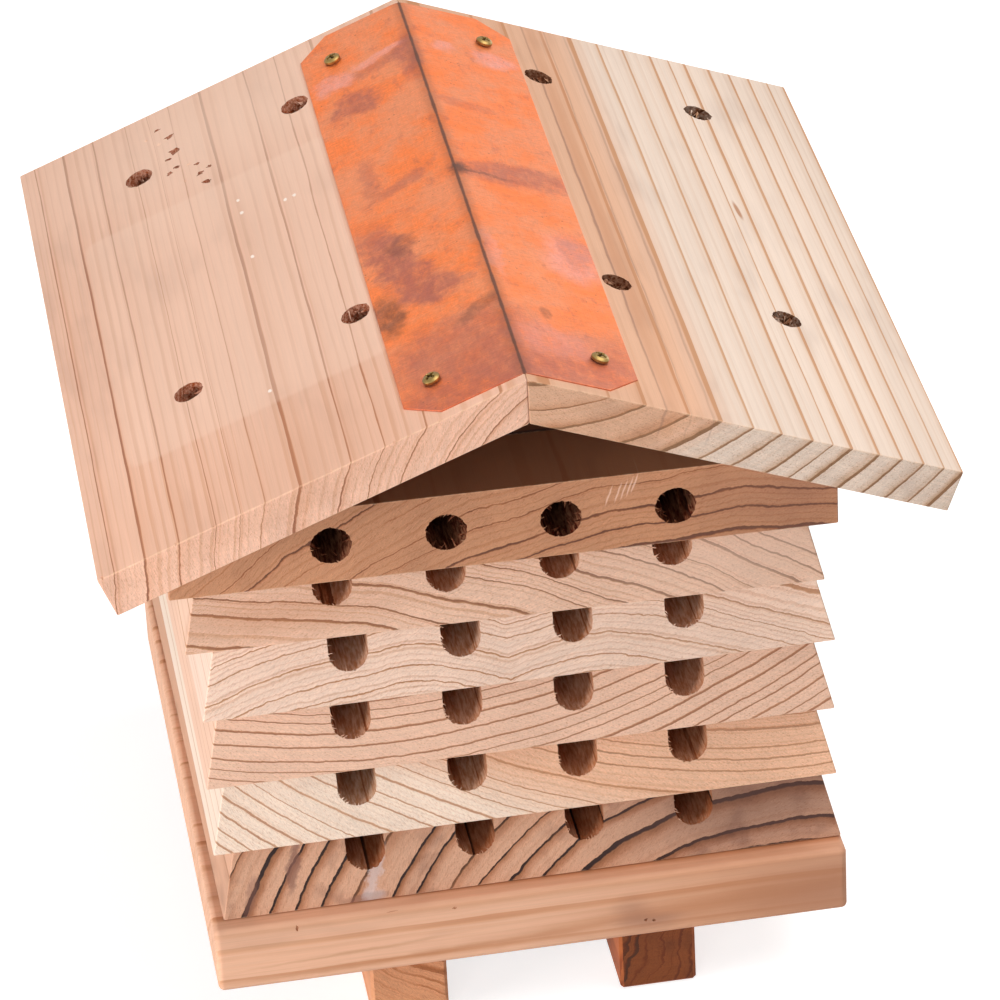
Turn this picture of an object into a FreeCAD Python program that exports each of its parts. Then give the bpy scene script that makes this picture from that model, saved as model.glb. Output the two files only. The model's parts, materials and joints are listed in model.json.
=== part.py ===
import FreeCAD, Part
import math
import os

# Bee hotel. Five grooved nest trays swivel on one bolt at the rear left corner, between a base board
# on two battens and a drilled top block that carries a pitched roof with a copper ridge strip.
# Millimetres, +Z up. The front faces -Y, and the origin is on the ground under the middle of the roof.

# Two battens under the base
foot_width = 19.0
foot_height = 19.0
foot_spacing = 62.0
foot_setback = 5.0
foot_arris = 0.8

# Base board
base_width = 156.0
base_depth = 162.0
base_thickness = 18.0
base_edge_round = 1.5

# Nest trays: widest at the lower edge, leaning in at the front and both sides
tray_width = 153.0
tray_setback = 4.3
tray_thickness = 19.0
tray_bevel = 4.5
tray_gap = 0.2
tray_turns = (0.5, 0.1, 0.0, 0.2, -0.9)

# Nest channels: round-nosed grooves in the trays and drilled bores in the top block
channel_count = 4
channel_pitch = 27.0
channel_width = 9.5
channel_depth = 11.0
channel_end_wall = 16.0
bore_diameter = 9.5
drill_point_angle = 118.0

# Top block
block_width = 158.0
block_overhang = 5.8
block_thickness = 20.0
block_turn = -1.0

# Pivot bolt through the whole stack, with its washers and lock nut
bolt_diameter = 6.0
bolt_play = 0.05
bolt_side_inset = 14.5
bolt_rear_inset = 11.0
bolt_end = 1.0
bolt_lead = 0.6
hex_width = 10.0
hex_head_height = 4.0
nut_height = 5.0
nut_collar_height = 1.6
nut_collar_diameter = 8.4
washer_diameter = 12.0
washer_thickness = 1.2

# Gable boards that hold the roof up
gable_width = 150.0
gable_end_height = 6.3
gable_thickness = 10.5
gable_inset = 27.5

# Roof boards, mitred together at the ridge
roof_length = 198.0
roof_slope = 106.3
roof_thickness = 10.6
roof_pitch = 21.0
roof_front_overhang = 34.0
roof_screw_inner = 33.0
roof_screw_outer = 76.0

# Copper ridge strip
cap_slope = 28.6
cap_end_inset = 3.2
cap_thickness = 0.7
cap_chamfer = 8.0
cap_screw_slope = 20.4
cap_screw_inset = 14.0

# Wood screws in the roof and feet, and the small ones in the copper
screw_head_diameter = 6.4
screw_head_height = 2.2
screw_crown_diameter = 4.0
screw_shank_diameter = 3.0
roof_screw_length = 30.0
foot_screw_length = 25.0
foot_screw_inset = 25.0
counterbore_diameter = 7.2
roof_counterbore_depth = 5.0
foot_counterbore_depth = 6.0
cap_screw_head_diameter = 5.6
cap_screw_head_height = 1.7
cap_screw_crown_diameter = 3.5
cap_screw_shank_diameter = 2.4
cap_screw_length = 9.0
screw_play = 0.05

# Cutting tools run past the faces that they leave by this much
overshoot = 1.0

# Heights, from the ground up
base_bottom = foot_height
base_top = base_bottom + base_thickness
tray_pitch = tray_thickness + tray_gap
tray_count = len(tray_turns)
block_bottom = base_top + tray_count * tray_pitch + tray_gap
block_top = block_bottom + block_thickness
pitch = math.radians(roof_pitch)
ridge_underside = block_top + gable_end_height + gable_width / 2 * math.tan(pitch)
ridge_top = ridge_underside + roof_thickness / math.cos(pitch)

# Places from front to back
roof_front = -roof_length / 2
base_front = roof_front + roof_front_overhang
body_rear = base_front + base_depth
tray_front = base_front + tray_setback
block_front = tray_front - block_overhang
channel_nose = body_rear - channel_end_wall - channel_width / 2
gable_centres = (block_front + gable_inset, body_rear - gable_inset)

# The pivot line, and the columns of nest channels
pivot_x = -tray_width / 2 + bolt_side_inset
pivot_y = body_rear - bolt_rear_inset
channel_columns = [(i - (channel_count - 1) / 2) * channel_pitch for i in range(channel_count)]


def outline_front(points, start, length):
    """Solid with the given outline in the XZ plane, run back along Y."""
    corners = [FreeCAD.Vector(x, start, z) for x, z in points]
    face = Part.Face(Part.makePolygon(corners + corners[:1]))
    return face.extrude(FreeCAD.Vector(0, length, 0))


def outline_side(points, width):
    """Solid with the given outline in the YZ plane, run across the middle along X."""
    corners = [FreeCAD.Vector(-width / 2, y, z) for y, z in points]
    face = Part.Face(Part.makePolygon(corners + corners[:1]))
    return face.extrude(FreeCAD.Vector(width, 0, 0))


def outline_top(points, bottom, height):
    """Solid with the given outline in the XY plane, run up along Z."""
    corners = [FreeCAD.Vector(x, y, bottom) for x, y in points]
    face = Part.Face(Part.makePolygon(corners + corners[:1]))
    return face.extrude(FreeCAD.Vector(0, 0, height))


def board(width, front, depth, bottom, thickness):
    """Square-edged board centred on X."""
    corner = FreeCAD.Vector(-width / 2, front, bottom)
    return Part.makeBox(width, depth, thickness, corner)


def spun(points):
    """Solid of revolution about Z from half of its outline, given as radius and height."""
    corners = [FreeCAD.Vector(radius, 0, height) for radius, height in points]
    face = Part.Face(Part.makePolygon(corners + corners[:1]))
    return face.revolve(FreeCAD.Vector(0, 0, 0), FreeCAD.Vector(0, 0, 1), 360)


def stood(shape, point, direction):
    """Copy of a shape made along Z, set at a point with its Z along the direction."""
    turn = FreeCAD.Rotation(FreeCAD.Vector(0, 0, 1), direction)
    copy = shape.copy()
    copy.Placement = FreeCAD.Placement(point, turn)
    return copy


def turned(shape, degrees):
    """The shape turned about the pivot line."""
    copy = shape.copy()
    copy.rotate(FreeCAD.Vector(pivot_x, pivot_y, 0), FreeCAD.Vector(0, 0, 1), degrees)
    return copy


def cut_all(shape, tools):
    """The shape with every tool taken out of it."""
    for tool in tools:
        shape = shape.cut(tool)
    return shape


def pan_screw(head_diameter, crown_diameter, head_height, shank_diameter, length):
    """Pan-head screw standing on Z, with the underside of its head at zero and its shank below."""
    shank = shank_diameter / 2
    return spun([
        (0, head_height),
        (crown_diameter / 2, head_height),
        (head_diameter / 2, 0),
        (shank, 0),
        (shank, -length),
        (0, -length),
    ])


def screw_hole(shank_diameter, length, counterbore, depth):
    """Tool for a screw's hole: a pilot below zero and a counterbore above it."""
    pilot = shank_diameter / 2 + screw_play
    hole = Part.makeCylinder(pilot, length + overshoot, FreeCAD.Vector(0, 0, -length - screw_play))
    if counterbore:
        hole = hole.fuse(Part.makeCylinder(counterbore / 2, depth))
    return hole


def hexagon(across_flats, height):
    """Hexagonal head or nut blank on Z."""
    sixth = math.pi / 3
    corner = across_flats / 2 / math.cos(sixth / 2)
    points = [(corner * math.cos(sixth * i), corner * math.sin(sixth * i)) for i in range(6)]
    return outline_top(points, 0, height)


def roof_point(side, slope, y, depth):
    """Point on a roof board: down the slope from the ridge, and below its upper face."""
    x = side * (slope * math.cos(pitch) - depth * math.sin(pitch))
    z = ridge_top - slope * math.sin(pitch) - depth * math.cos(pitch)
    return FreeCAD.Vector(x, y, z)


def roof_normal(side):
    """Direction that a roof board's upper face looks."""
    return FreeCAD.Vector(side * math.sin(pitch), 0, math.cos(pitch))


def on_roof_screws(side, shape):
    """A shape set at each of the four screw seats of one roof board."""
    seats = [(s, y) for s in (roof_screw_inner, roof_screw_outer) for y in gable_centres]
    normal = roof_normal(side)
    return [stood(shape, roof_point(side, s, y, roof_counterbore_depth), normal) for s, y in seats]


def on_cap_screws(side, shape):
    """A shape set on the copper at the two screw seats of one side."""
    reach = roof_length / 2 - cap_end_inset - cap_screw_inset
    normal = roof_normal(side)
    seats = [roof_point(side, cap_screw_slope, y, -cap_thickness) for y in (-reach, reach)]
    return [stood(shape, seat, normal) for seat in seats]


def on_foot_screws(side, shape):
    """A shape set at the two screw seats of one batten, looking down."""
    front = base_front + foot_setback + foot_screw_inset
    rear = body_rear - foot_setback - foot_screw_inset
    x = side * foot_spacing / 2
    down = FreeCAD.Vector(0, 0, -1)
    return [stood(shape, FreeCAD.Vector(x, y, foot_counterbore_depth), down) for y in (front, rear)]


def roof_screw_holes():
    """Tools for all eight roof screws."""
    hole = screw_hole(screw_shank_diameter, roof_screw_length, counterbore_diameter,
                      roof_counterbore_depth + overshoot)
    return on_roof_screws(-1, hole) + on_roof_screws(1, hole)


def cap_screw_holes():
    """Tools for the four screws of the copper strip."""
    hole = screw_hole(cap_screw_shank_diameter, cap_screw_length, 0, 0)
    return on_cap_screws(-1, hole) + on_cap_screws(1, hole)


def foot_screw_holes(side):
    """Tools for the two screws of one batten."""
    hole = screw_hole(screw_shank_diameter, foot_screw_length, counterbore_diameter,
                      foot_counterbore_depth + overshoot)
    return on_foot_screws(side, hole)


def pivot_hole(bottom, height):
    """Tool for the bolt's hole through one layer, with a running fit."""
    radius = bolt_diameter / 2 + bolt_play
    foot = FreeCAD.Vector(pivot_x, pivot_y, bottom - overshoot)
    return Part.makeCylinder(radius, height + 2 * overshoot, foot)


def foot(side):
    """Batten under the base, running front to back."""
    depth = base_depth - 2 * foot_setback
    corner = FreeCAD.Vector(side * foot_spacing / 2 - foot_width / 2, base_front + foot_setback, 0)
    batten = Part.makeBox(foot_width, depth, foot_height, corner)
    batten = batten.makeChamfer(foot_arris, batten.Edges)
    return cut_all(batten, foot_screw_holes(side))


def base_board():
    """Base board with its edges eased."""
    base = board(base_width, base_front, base_depth, base_bottom, base_thickness)
    base = base.makeFillet(base_edge_round, base.Edges)
    tools = foot_screw_holes(-1) + foot_screw_holes(1)
    return cut_all(base, tools + [pivot_hole(base_bottom, base_thickness)])


def channel(x, top):
    """Tool for one nest channel: a round-bottomed groove that ends as its round-nosed cutter left it."""
    radius = channel_width / 2
    start = tray_front - overshoot
    spring = top - channel_depth + radius
    rim = top + overshoot
    left_rim = FreeCAD.Vector(x - radius, start, rim)
    left_spring = FreeCAD.Vector(x - radius, start, spring)
    lowest = FreeCAD.Vector(x, start, spring - radius)
    right_spring = FreeCAD.Vector(x + radius, start, spring)
    right_rim = FreeCAD.Vector(x + radius, start, rim)
    section = Part.Wire([
        Part.LineSegment(left_rim, left_spring).toShape(),
        Part.Arc(left_spring, lowest, right_spring).toShape(),
        Part.LineSegment(right_spring, right_rim).toShape(),
        Part.LineSegment(right_rim, left_rim).toShape(),
    ])
    groove = Part.Face(section).extrude(FreeCAD.Vector(0, channel_nose - start, 0))
    nose = FreeCAD.Vector(x, channel_nose, spring)
    cutter = Part.makeCylinder(radius, rim - spring, nose)
    return groove.fuse([cutter, Part.makeSphere(radius, nose)])


def nest_tray(level):
    """One nest tray: crossing outlines give its leaning faces, and the channels are cut from its top."""
    bottom = base_top + tray_gap + level * tray_pitch
    top = bottom + tray_thickness
    half = tray_width / 2
    face = [
        (-half, bottom),
        (half, bottom),
        (half - tray_bevel, top),
        (tray_bevel - half, top),
    ]
    side = [
        (tray_front, bottom),
        (body_rear, bottom),
        (body_rear, top),
        (tray_front + tray_bevel, top),
    ]
    tray = outline_front(face, tray_front, body_rear - tray_front).common(outline_side(side, tray_width))
    tools = [channel(x, top) for x in channel_columns]
    tray = cut_all(tray, tools + [pivot_hole(bottom, tray_thickness)])
    return turned(tray, tray_turns[level])


def nest_bore(x):
    """Tool for one drilled nest in the top block, with the cone that the drill leaves."""
    radius = bore_diameter / 2
    start = FreeCAD.Vector(x, block_front - overshoot, block_bottom + block_thickness / 2)
    back = FreeCAD.Vector(0, 1, 0)
    depth = channel_nose - start.y
    point = radius / math.tan(math.radians(drill_point_angle / 2))
    drill = Part.makeCylinder(radius, depth, start, back)
    return drill.fuse(Part.makeCone(radius, 0, point, start + back * depth, back))


def top_block():
    """Square-edged block over the trays, drilled with nests and standing a little turned on the bolt."""
    block = board(block_width, block_front, body_rear - block_front, block_bottom, block_thickness)
    block = cut_all(block, [nest_bore(x) for x in channel_columns])
    block = turned(block, block_turn)
    return cut_all(block, roof_screw_holes() + [pivot_hole(block_bottom, block_thickness)])


def pivot_bolt():
    """Hexagon bolt from under the base to above the top block."""
    seat = base_bottom - washer_thickness
    end = block_top + washer_thickness + nut_height + bolt_end
    radius = bolt_diameter / 2
    shank = spun([
        (0, seat),
        (radius, seat),
        (radius, end - bolt_lead),
        (radius - bolt_lead, end),
        (0, end),
    ])
    head = stood(hexagon(hex_width, hex_head_height), FreeCAD.Vector(0, 0, seat), FreeCAD.Vector(0, 0, -1))
    bolt = shank.fuse(head)
    bolt.translate(FreeCAD.Vector(pivot_x, pivot_y, 0))
    return bolt


def pivot_washer(bottom):
    """Plain washer on the bolt."""
    foot_centre = FreeCAD.Vector(pivot_x, pivot_y, bottom)
    disc = Part.makeCylinder(washer_diameter / 2, washer_thickness, foot_centre)
    return disc.cut(pivot_hole(bottom, washer_thickness))


def pivot_nut():
    """Lock nut: a hexagon with a round collar on top."""
    bottom = block_top + washer_thickness
    blank = hexagon(hex_width, nut_height - nut_collar_height)
    nut = blank.fuse(Part.makeCylinder(nut_collar_diameter / 2, nut_height))
    nut.translate(FreeCAD.Vector(pivot_x, pivot_y, bottom))
    return nut.cut(pivot_hole(bottom, nut_height))


def gable(centre):
    """Upright board between the top block and the roof, cut to the roof's pitch."""
    half = gable_width / 2
    shoulder = block_top + gable_end_height
    points = [
        (-half, block_top),
        (half, block_top),
        (half, shoulder),
        (0, ridge_underside),
        (-half, shoulder),
    ]
    upright = outline_front(points, centre - gable_thickness / 2, gable_thickness)
    return cut_all(upright, roof_screw_holes())


def roof_board(side):
    """One roof board: mitred upright at the ridge and cut square at the eave."""
    eave_top = roof_point(side, roof_slope, 0, 0)
    eave_bottom = roof_point(side, roof_slope, 0, roof_thickness)
    corners = [
        (0, ridge_top),
        (eave_top.x, eave_top.z),
        (eave_bottom.x, eave_bottom.z),
        (0, ridge_underside),
    ]
    plank = outline_front(corners, roof_front, roof_length)
    return cut_all(plank, roof_screw_holes() + cap_screw_holes())


def ridge_cap():
    """Copper strip bent over the ridge, with its four corners clipped."""
    reach = cap_slope * math.cos(pitch)
    fall = cap_slope * math.sin(pitch)
    rise = cap_thickness / math.cos(pitch)
    half_length = roof_length / 2 - cap_end_inset
    bend = [
        (-reach, ridge_top - fall),
        (0, ridge_top),
        (reach, ridge_top - fall),
        (reach, ridge_top - fall + rise),
        (0, ridge_top + rise),
        (-reach, ridge_top - fall + rise),
    ]
    strip = outline_front(bend, -half_length, 2 * half_length)
    clip = cap_chamfer * math.cos(pitch)
    plan = [
        (-reach, -half_length + cap_chamfer),
        (clip - reach, -half_length),
        (reach - clip, -half_length),
        (reach, -half_length + cap_chamfer),
        (reach, half_length - cap_chamfer),
        (reach - clip, half_length),
        (clip - reach, half_length),
        (-reach, half_length - cap_chamfer),
    ]
    lowest = ridge_top - fall - overshoot
    strip = strip.common(outline_top(plan, lowest, fall + rise + 2 * overshoot))
    return cut_all(strip, cap_screw_holes())


def build():
    """Every piece by its name."""
    wood_screw = (screw_head_diameter, screw_crown_diameter, screw_head_height, screw_shank_diameter)
    roof_screw = pan_screw(*wood_screw, roof_screw_length)
    foot_screw = pan_screw(*wood_screw, foot_screw_length)
    cap_screw = pan_screw(cap_screw_head_diameter, cap_screw_crown_diameter, cap_screw_head_height,
                          cap_screw_shank_diameter, cap_screw_length)
    pieces = {
        "foot_left": foot(-1),
        "foot_right": foot(1),
        "foot_screws_left": Part.makeCompound(on_foot_screws(-1, foot_screw)),
        "foot_screws_right": Part.makeCompound(on_foot_screws(1, foot_screw)),
        "base_board": base_board(),
        "top_block": top_block(),
        "pivot_bolt": pivot_bolt(),
        "pivot_washer_lower": pivot_washer(base_bottom - washer_thickness),
        "pivot_washer_upper": pivot_washer(block_top),
        "pivot_nut": pivot_nut(),
        "gable_front": gable(gable_centres[0]),
        "gable_rear": gable(gable_centres[1]),
        "roof_board_left": roof_board(-1),
        "roof_board_right": roof_board(1),
        "roof_screws_left": Part.makeCompound(on_roof_screws(-1, roof_screw)),
        "roof_screws_right": Part.makeCompound(on_roof_screws(1, roof_screw)),
        "ridge_cap": ridge_cap(),
        "ridge_cap_screws": Part.makeCompound(on_cap_screws(-1, cap_screw) + on_cap_screws(1, cap_screw)),
    }
    for level in range(tray_count):
        pieces[f"nest_tray_{level + 1}"] = nest_tray(level)
    return pieces


def main():
    """Write one file per piece."""
    os.makedirs("parts", exist_ok=True)
    for name, shape in build().items():
        shape.exportStep(f"parts/{name}.step")
        print(name, len(shape.Solids), "solids", round(shape.Volume), "mm3", shape.isValid())


main()
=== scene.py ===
import json
import math
import random
from typing import NamedTuple

import bmesh
import bpy
from bpy.props import FloatProperty, FloatVectorProperty, IntProperty, PointerProperty
from mathutils import Matrix, Vector, noise


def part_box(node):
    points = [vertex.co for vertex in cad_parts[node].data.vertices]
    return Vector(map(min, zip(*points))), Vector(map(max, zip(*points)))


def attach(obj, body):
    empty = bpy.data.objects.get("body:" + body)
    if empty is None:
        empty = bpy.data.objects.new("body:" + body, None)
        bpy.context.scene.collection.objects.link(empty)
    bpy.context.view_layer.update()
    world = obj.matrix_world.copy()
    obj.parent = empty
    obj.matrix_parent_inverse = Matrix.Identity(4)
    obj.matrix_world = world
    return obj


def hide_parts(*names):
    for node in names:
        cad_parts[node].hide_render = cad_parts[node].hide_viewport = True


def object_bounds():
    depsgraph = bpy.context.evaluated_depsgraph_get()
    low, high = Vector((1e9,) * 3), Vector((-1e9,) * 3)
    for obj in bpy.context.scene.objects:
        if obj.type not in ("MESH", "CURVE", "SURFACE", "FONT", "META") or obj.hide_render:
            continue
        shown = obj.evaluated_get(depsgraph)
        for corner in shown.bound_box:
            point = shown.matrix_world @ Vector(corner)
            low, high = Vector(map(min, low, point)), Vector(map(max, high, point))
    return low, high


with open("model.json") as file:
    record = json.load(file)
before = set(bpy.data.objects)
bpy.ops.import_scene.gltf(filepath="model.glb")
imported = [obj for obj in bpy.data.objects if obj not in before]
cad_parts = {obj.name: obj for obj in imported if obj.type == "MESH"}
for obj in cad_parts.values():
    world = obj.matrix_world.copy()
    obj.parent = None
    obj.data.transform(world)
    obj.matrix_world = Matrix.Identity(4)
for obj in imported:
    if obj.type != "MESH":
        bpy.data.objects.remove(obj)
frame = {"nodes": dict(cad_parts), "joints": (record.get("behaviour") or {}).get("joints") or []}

bl_info = {
    "name": "Bee Hotel",
    "version": (1, 0, 0),
    "blender": (4, 5, 0),
    "location": "View3D > Sidebar > Bee Hotel",
    "description": "Dresses a cedar bee hotel with swivelling nest trays and a copper ridge strip",
    "category": "Add Mesh",
}

MM = 0.001
HOTEL = "hotel_body"
CAD_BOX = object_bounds()
PIVOT = Vector(frame["joints"][0]["pos_m"])
TRAYS = [f"nest_tray_{level}" for level in range(1, 6)]
DOWN = Vector((0, 0, -1))

# Finishes of a board, in the order of its material slots. The worn finish is pale fibres on edges and
# splinters, lightened also as a painted highlight where they catch the light.
PLANED, TORN, WORN = range(3)


def paint(red, green, blue):
    """Scene-linear colour from the usual values of 0 to 255."""
    shares = [value / 255 for value in (red, green, blue)]
    return [s / 12.92 if s <= 0.04045 else ((s + 0.055) / 1.055) ** 2.4 for s in shares]


def length(label, words, millimetres):
    """Property that holds a length."""
    return FloatProperty(name=label, description=words, default=millimetres * MM, min=0, precision=5,
                         unit="LENGTH")


def colour(label, words, red, green, blue):
    """Property that holds a colour."""
    return FloatVectorProperty(name=label, description=words, default=paint(red, green, blue), min=0, max=1,
                               subtype="COLOR")


def angle(label, words, degrees):
    """Property that holds an angle."""
    return FloatProperty(name=label, description=words, default=math.radians(degrees), subtype="ANGLE")


def power(label, words, watts):
    """Property that holds the power of a lamp."""
    return FloatProperty(name=label, description=words, default=watts, unit="POWER")


# Properties


class BeeHotelSizes(bpy.types.PropertyGroup):
    """Sizes of the worked edges, nests and screw heads"""
    arris: length("Arris", "Width of the eased edges of the planed boards", 0.35)
    corner: length("Corner", "Rounding of the upright corners of the boards", 0.4)
    channel_pitch: length("Channel pitch", "Distance from one nest channel to the next", 27)
    channel_width: length("Channel width", "Width of the nest channels and drilled nests", 9.5)
    channel_depth: length("Channel depth", "Depth of the round-bottomed channels", 11)
    channel_end: length("Channel end wall", "Wood left behind the channels", 16)
    channel_count: IntProperty(name="Channels", description="Nest channels in each layer", default=4, min=1)
    roughness: length("Cut roughness", "How far the cutter's walls wander", 0.12)
    tear: length("Torn rim", "How far fibres are torn out at the mouth of a hole", 1.1)
    counterbore: length("Counterbore", "Diameter of the holes that sink the roof and foot screws", 7.2)
    counterbore_depth: length("Counterbore depth", "How deep the roof screws are sunk", 5)
    screw_head: length("Screw head", "Diameter of the heads of the wood screws", 6.4)
    screw_height: length("Screw head height", "Height of the heads of the wood screws", 2.2)
    cap_screw_head: length("Strip screw head", "Diameter of the heads of the strip's screws", 4.2)
    cap_screw_height: length("Strip screw head height", "Height of the heads of the strip's screws", 1.2)
    cap_screw_sunk: length("Strip screw dimple", "How far the strip is pressed in under its screws", 0.7)
    copper_thickness: length("Copper thickness", "Thickness of the ridge strip", 0.7)
    copper_clip: length("Clipped corner", "Length of the strip's clipped corners", 8)
    copper_bend: length("Copper bend", "Radius of the bend over the ridge", 0.9)


class BeeHotelColours(bpy.types.PropertyGroup):
    """Colours of the woods and metals"""
    roof_left: colour("Left roof", "Early wood of the left roof board", 232, 186, 161)
    roof_left_line: colour("Left roof lines", "Late wood of the left roof board", 164, 106, 80)
    # Partly painted shade: torn wood, darkened for the shade deep inside the screw holes; it also colours
    # the torn spots on the board
    roof_left_torn: colour("Left roof holes", "Torn wood inside the left board's holes", 152, 92, 54)
    roof_right: colour("Right roof heart", "Early wood near the right board's ridge", 225, 176, 144)
    roof_right_sap: colour("Right roof sap", "Early wood near the right board's eave", 234, 211, 193)
    # Partly painted shade: torn wood, darkened for the shade deep inside the screw holes
    roof_right_torn: colour("Right roof holes", "Torn wood inside the right board's holes", 130, 86, 54)
    roof_right_line: colour("Right roof lines", "Late wood of the right roof board", 198, 144, 104)
    # Partly painted shade: the block's early wood is darker than the trays' for the shade of the roof's
    # overhang, as well as for its own darker wood
    block: colour("Top block", "Early wood of the top block", 202, 146, 110)
    block_line: colour("Top block lines", "Late wood of the top block", 110, 70, 54)
    # Partly painted shade: torn wood, darkened for the shade deep inside the drilled nests
    block_torn: colour("Drilled nests", "Dark wood inside the drilled nests", 110, 52, 36)
    tray_5: colour("Top tray", "Early wood of the fifth tray", 235, 196, 171)
    tray_5_line: colour("Top tray lines", "Late wood of the fifth tray", 146, 98, 72)
    tray_4: colour("Fourth tray", "Early wood of the fourth tray", 236, 206, 187)
    tray_4_line: colour("Fourth tray lines", "Late wood of the fourth tray", 172, 116, 76)
    tray_3: colour("Third tray", "Early wood of the third tray", 235, 194, 169)
    tray_3_line: colour("Third tray lines", "Late wood of the third tray", 166, 112, 84)
    tray_2: colour("Second tray heart", "Early wood at the right of the second tray", 228, 181, 150)
    tray_2_sap: colour("Second tray sap", "Early wood at the left of the second tray", 240, 217, 198)
    tray_2_line: colour("Second tray lines", "Late wood of the second tray", 182, 132, 102)
    tray_1: colour("Lowest tray", "Early wood of the lowest tray", 216, 167, 138)
    tray_1_line: colour("Lowest tray lines", "Late wood of the lowest tray", 40, 24, 22)
    base: colour("Base", "Early wood of the base board", 240, 188, 156)
    base_line: colour("Base lines", "Late wood of the base board", 176, 114, 82)
    foot_left: colour("Left foot", "Early wood of the left batten", 226, 160, 118)
    foot_left_line: colour("Left foot lines", "Late wood of the left batten", 140, 86, 56)
    foot_right: colour("Right foot", "Early wood of the right batten", 194, 106, 54)
    foot_right_line: colour("Right foot lines", "Late wood of the right batten", 96, 54, 30)
    # Painted shade: the gable colours are made far darker than the cedar, for the deep shade under the roof
    gable: colour("Gables", "Early wood of the gable boards", 80, 44, 24)
    gable_line: colour("Gable lines", "Late wood of the gable boards", 46, 24, 14)
    stain: colour("Stain", "Grey tinge in weathered wood", 132, 108, 110)
    torn: colour("Torn wood", "Brown of the rough wood inside the holes", 196, 156, 124)
    # Pale worn fibres, and a painted highlight along the eased edges and on the rim splinters
    worn: colour("Worn edge", "Pale fibres along the edges of the boards", 246, 206, 170)
    # Paler wood, and painted light where broad patches of it lighten parts that the lamps leave too dark
    pale: colour("Shaded patch", "Wood that was covered and stayed paler", 248, 214, 192)
    streak: colour("Streak", "Brown streaks along the grain", 196, 130, 88)
    resin: colour("Resin", "Resin pocket in the right roof board", 176, 112, 62)
    flake: colour("Flake", "White flakes stuck to the left roof board", 255, 240, 230)
    smear: colour("Smear", "Chalky smears on the trays", 224, 208, 206)
    bruise: colour("Bruise", "Purple weathering of the wood", 132, 90, 78)
    copper: colour("Copper", "Clean copper", 228, 138, 92)
    copper_warm: colour("Copper blush", "Orange tarnish on the copper", 238, 126, 62)
    # Pink haze, and also a painted highlight beside the bend
    copper_pale: colour("Copper haze", "Pink haze on the copper", 230, 154, 136)
    # Purple tarnish, and also painted shade over the strip's front end
    copper_dark: colour("Copper bloom", "Purple tarnish on the copper", 168, 92, 76)
    copper_crease: colour("Copper crease", "Dark line along the bend of the copper", 94, 58, 44)
    brass: colour("Brass", "Yellow plating of the screws", 146, 120, 72)
    # Grime in the screws' cross recess, darkened also as painted shade in the recess
    recess_grime_and_shade: colour("Grime", "Dirt in the cross recess of the screws", 70, 54, 34)
    zinc: colour("Zinc", "Plating of the pivot bolt", 160, 162, 164)


class BeeHotelStudio(bpy.types.PropertyGroup):
    """Camera and light"""
    aim: FloatVectorProperty(name="Aim", description="Point that the camera looks at",
                             default=(-4.07 * MM, -73.58 * MM, 153.94 * MM), subtype="TRANSLATION")
    distance: length("Distance", "From the camera to its aim", 1250)
    azimuth: angle("Azimuth", "Camera's turn from the front, to the right", -7.7606)
    elevation: angle("Elevation", "Camera's height above the horizon", 31.3577)
    roll: angle("Roll", "Camera's turn about its line of sight", -3.0617)
    lens: FloatProperty(name="Lens", description="Focal length for a 36 mm sensor", default=195.51,
                        unit="CAMERA")
    key: power("Key light", "Power of the lamp close at the left", 8.2)
    top: power("Top light", "Power of the large lamp overhead", 10.5)
    fill: power("Fill light", "Power of the lamp in front, to the left of the camera", 4.3)
    rear: power("Rear light", "Power of the lamp low behind the hotel", 5.0)
    ambient: FloatProperty(name="Ambient", description="Brightness of the white room as light",
                           default=0.11)
    floor: colour("Floor", "Pale studio floor", 196, 196, 196)
    floor_glow: FloatProperty(name="Floor glow", description="Lift of the floor where it is seen",
                              default=0.76)


# Nodes


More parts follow.
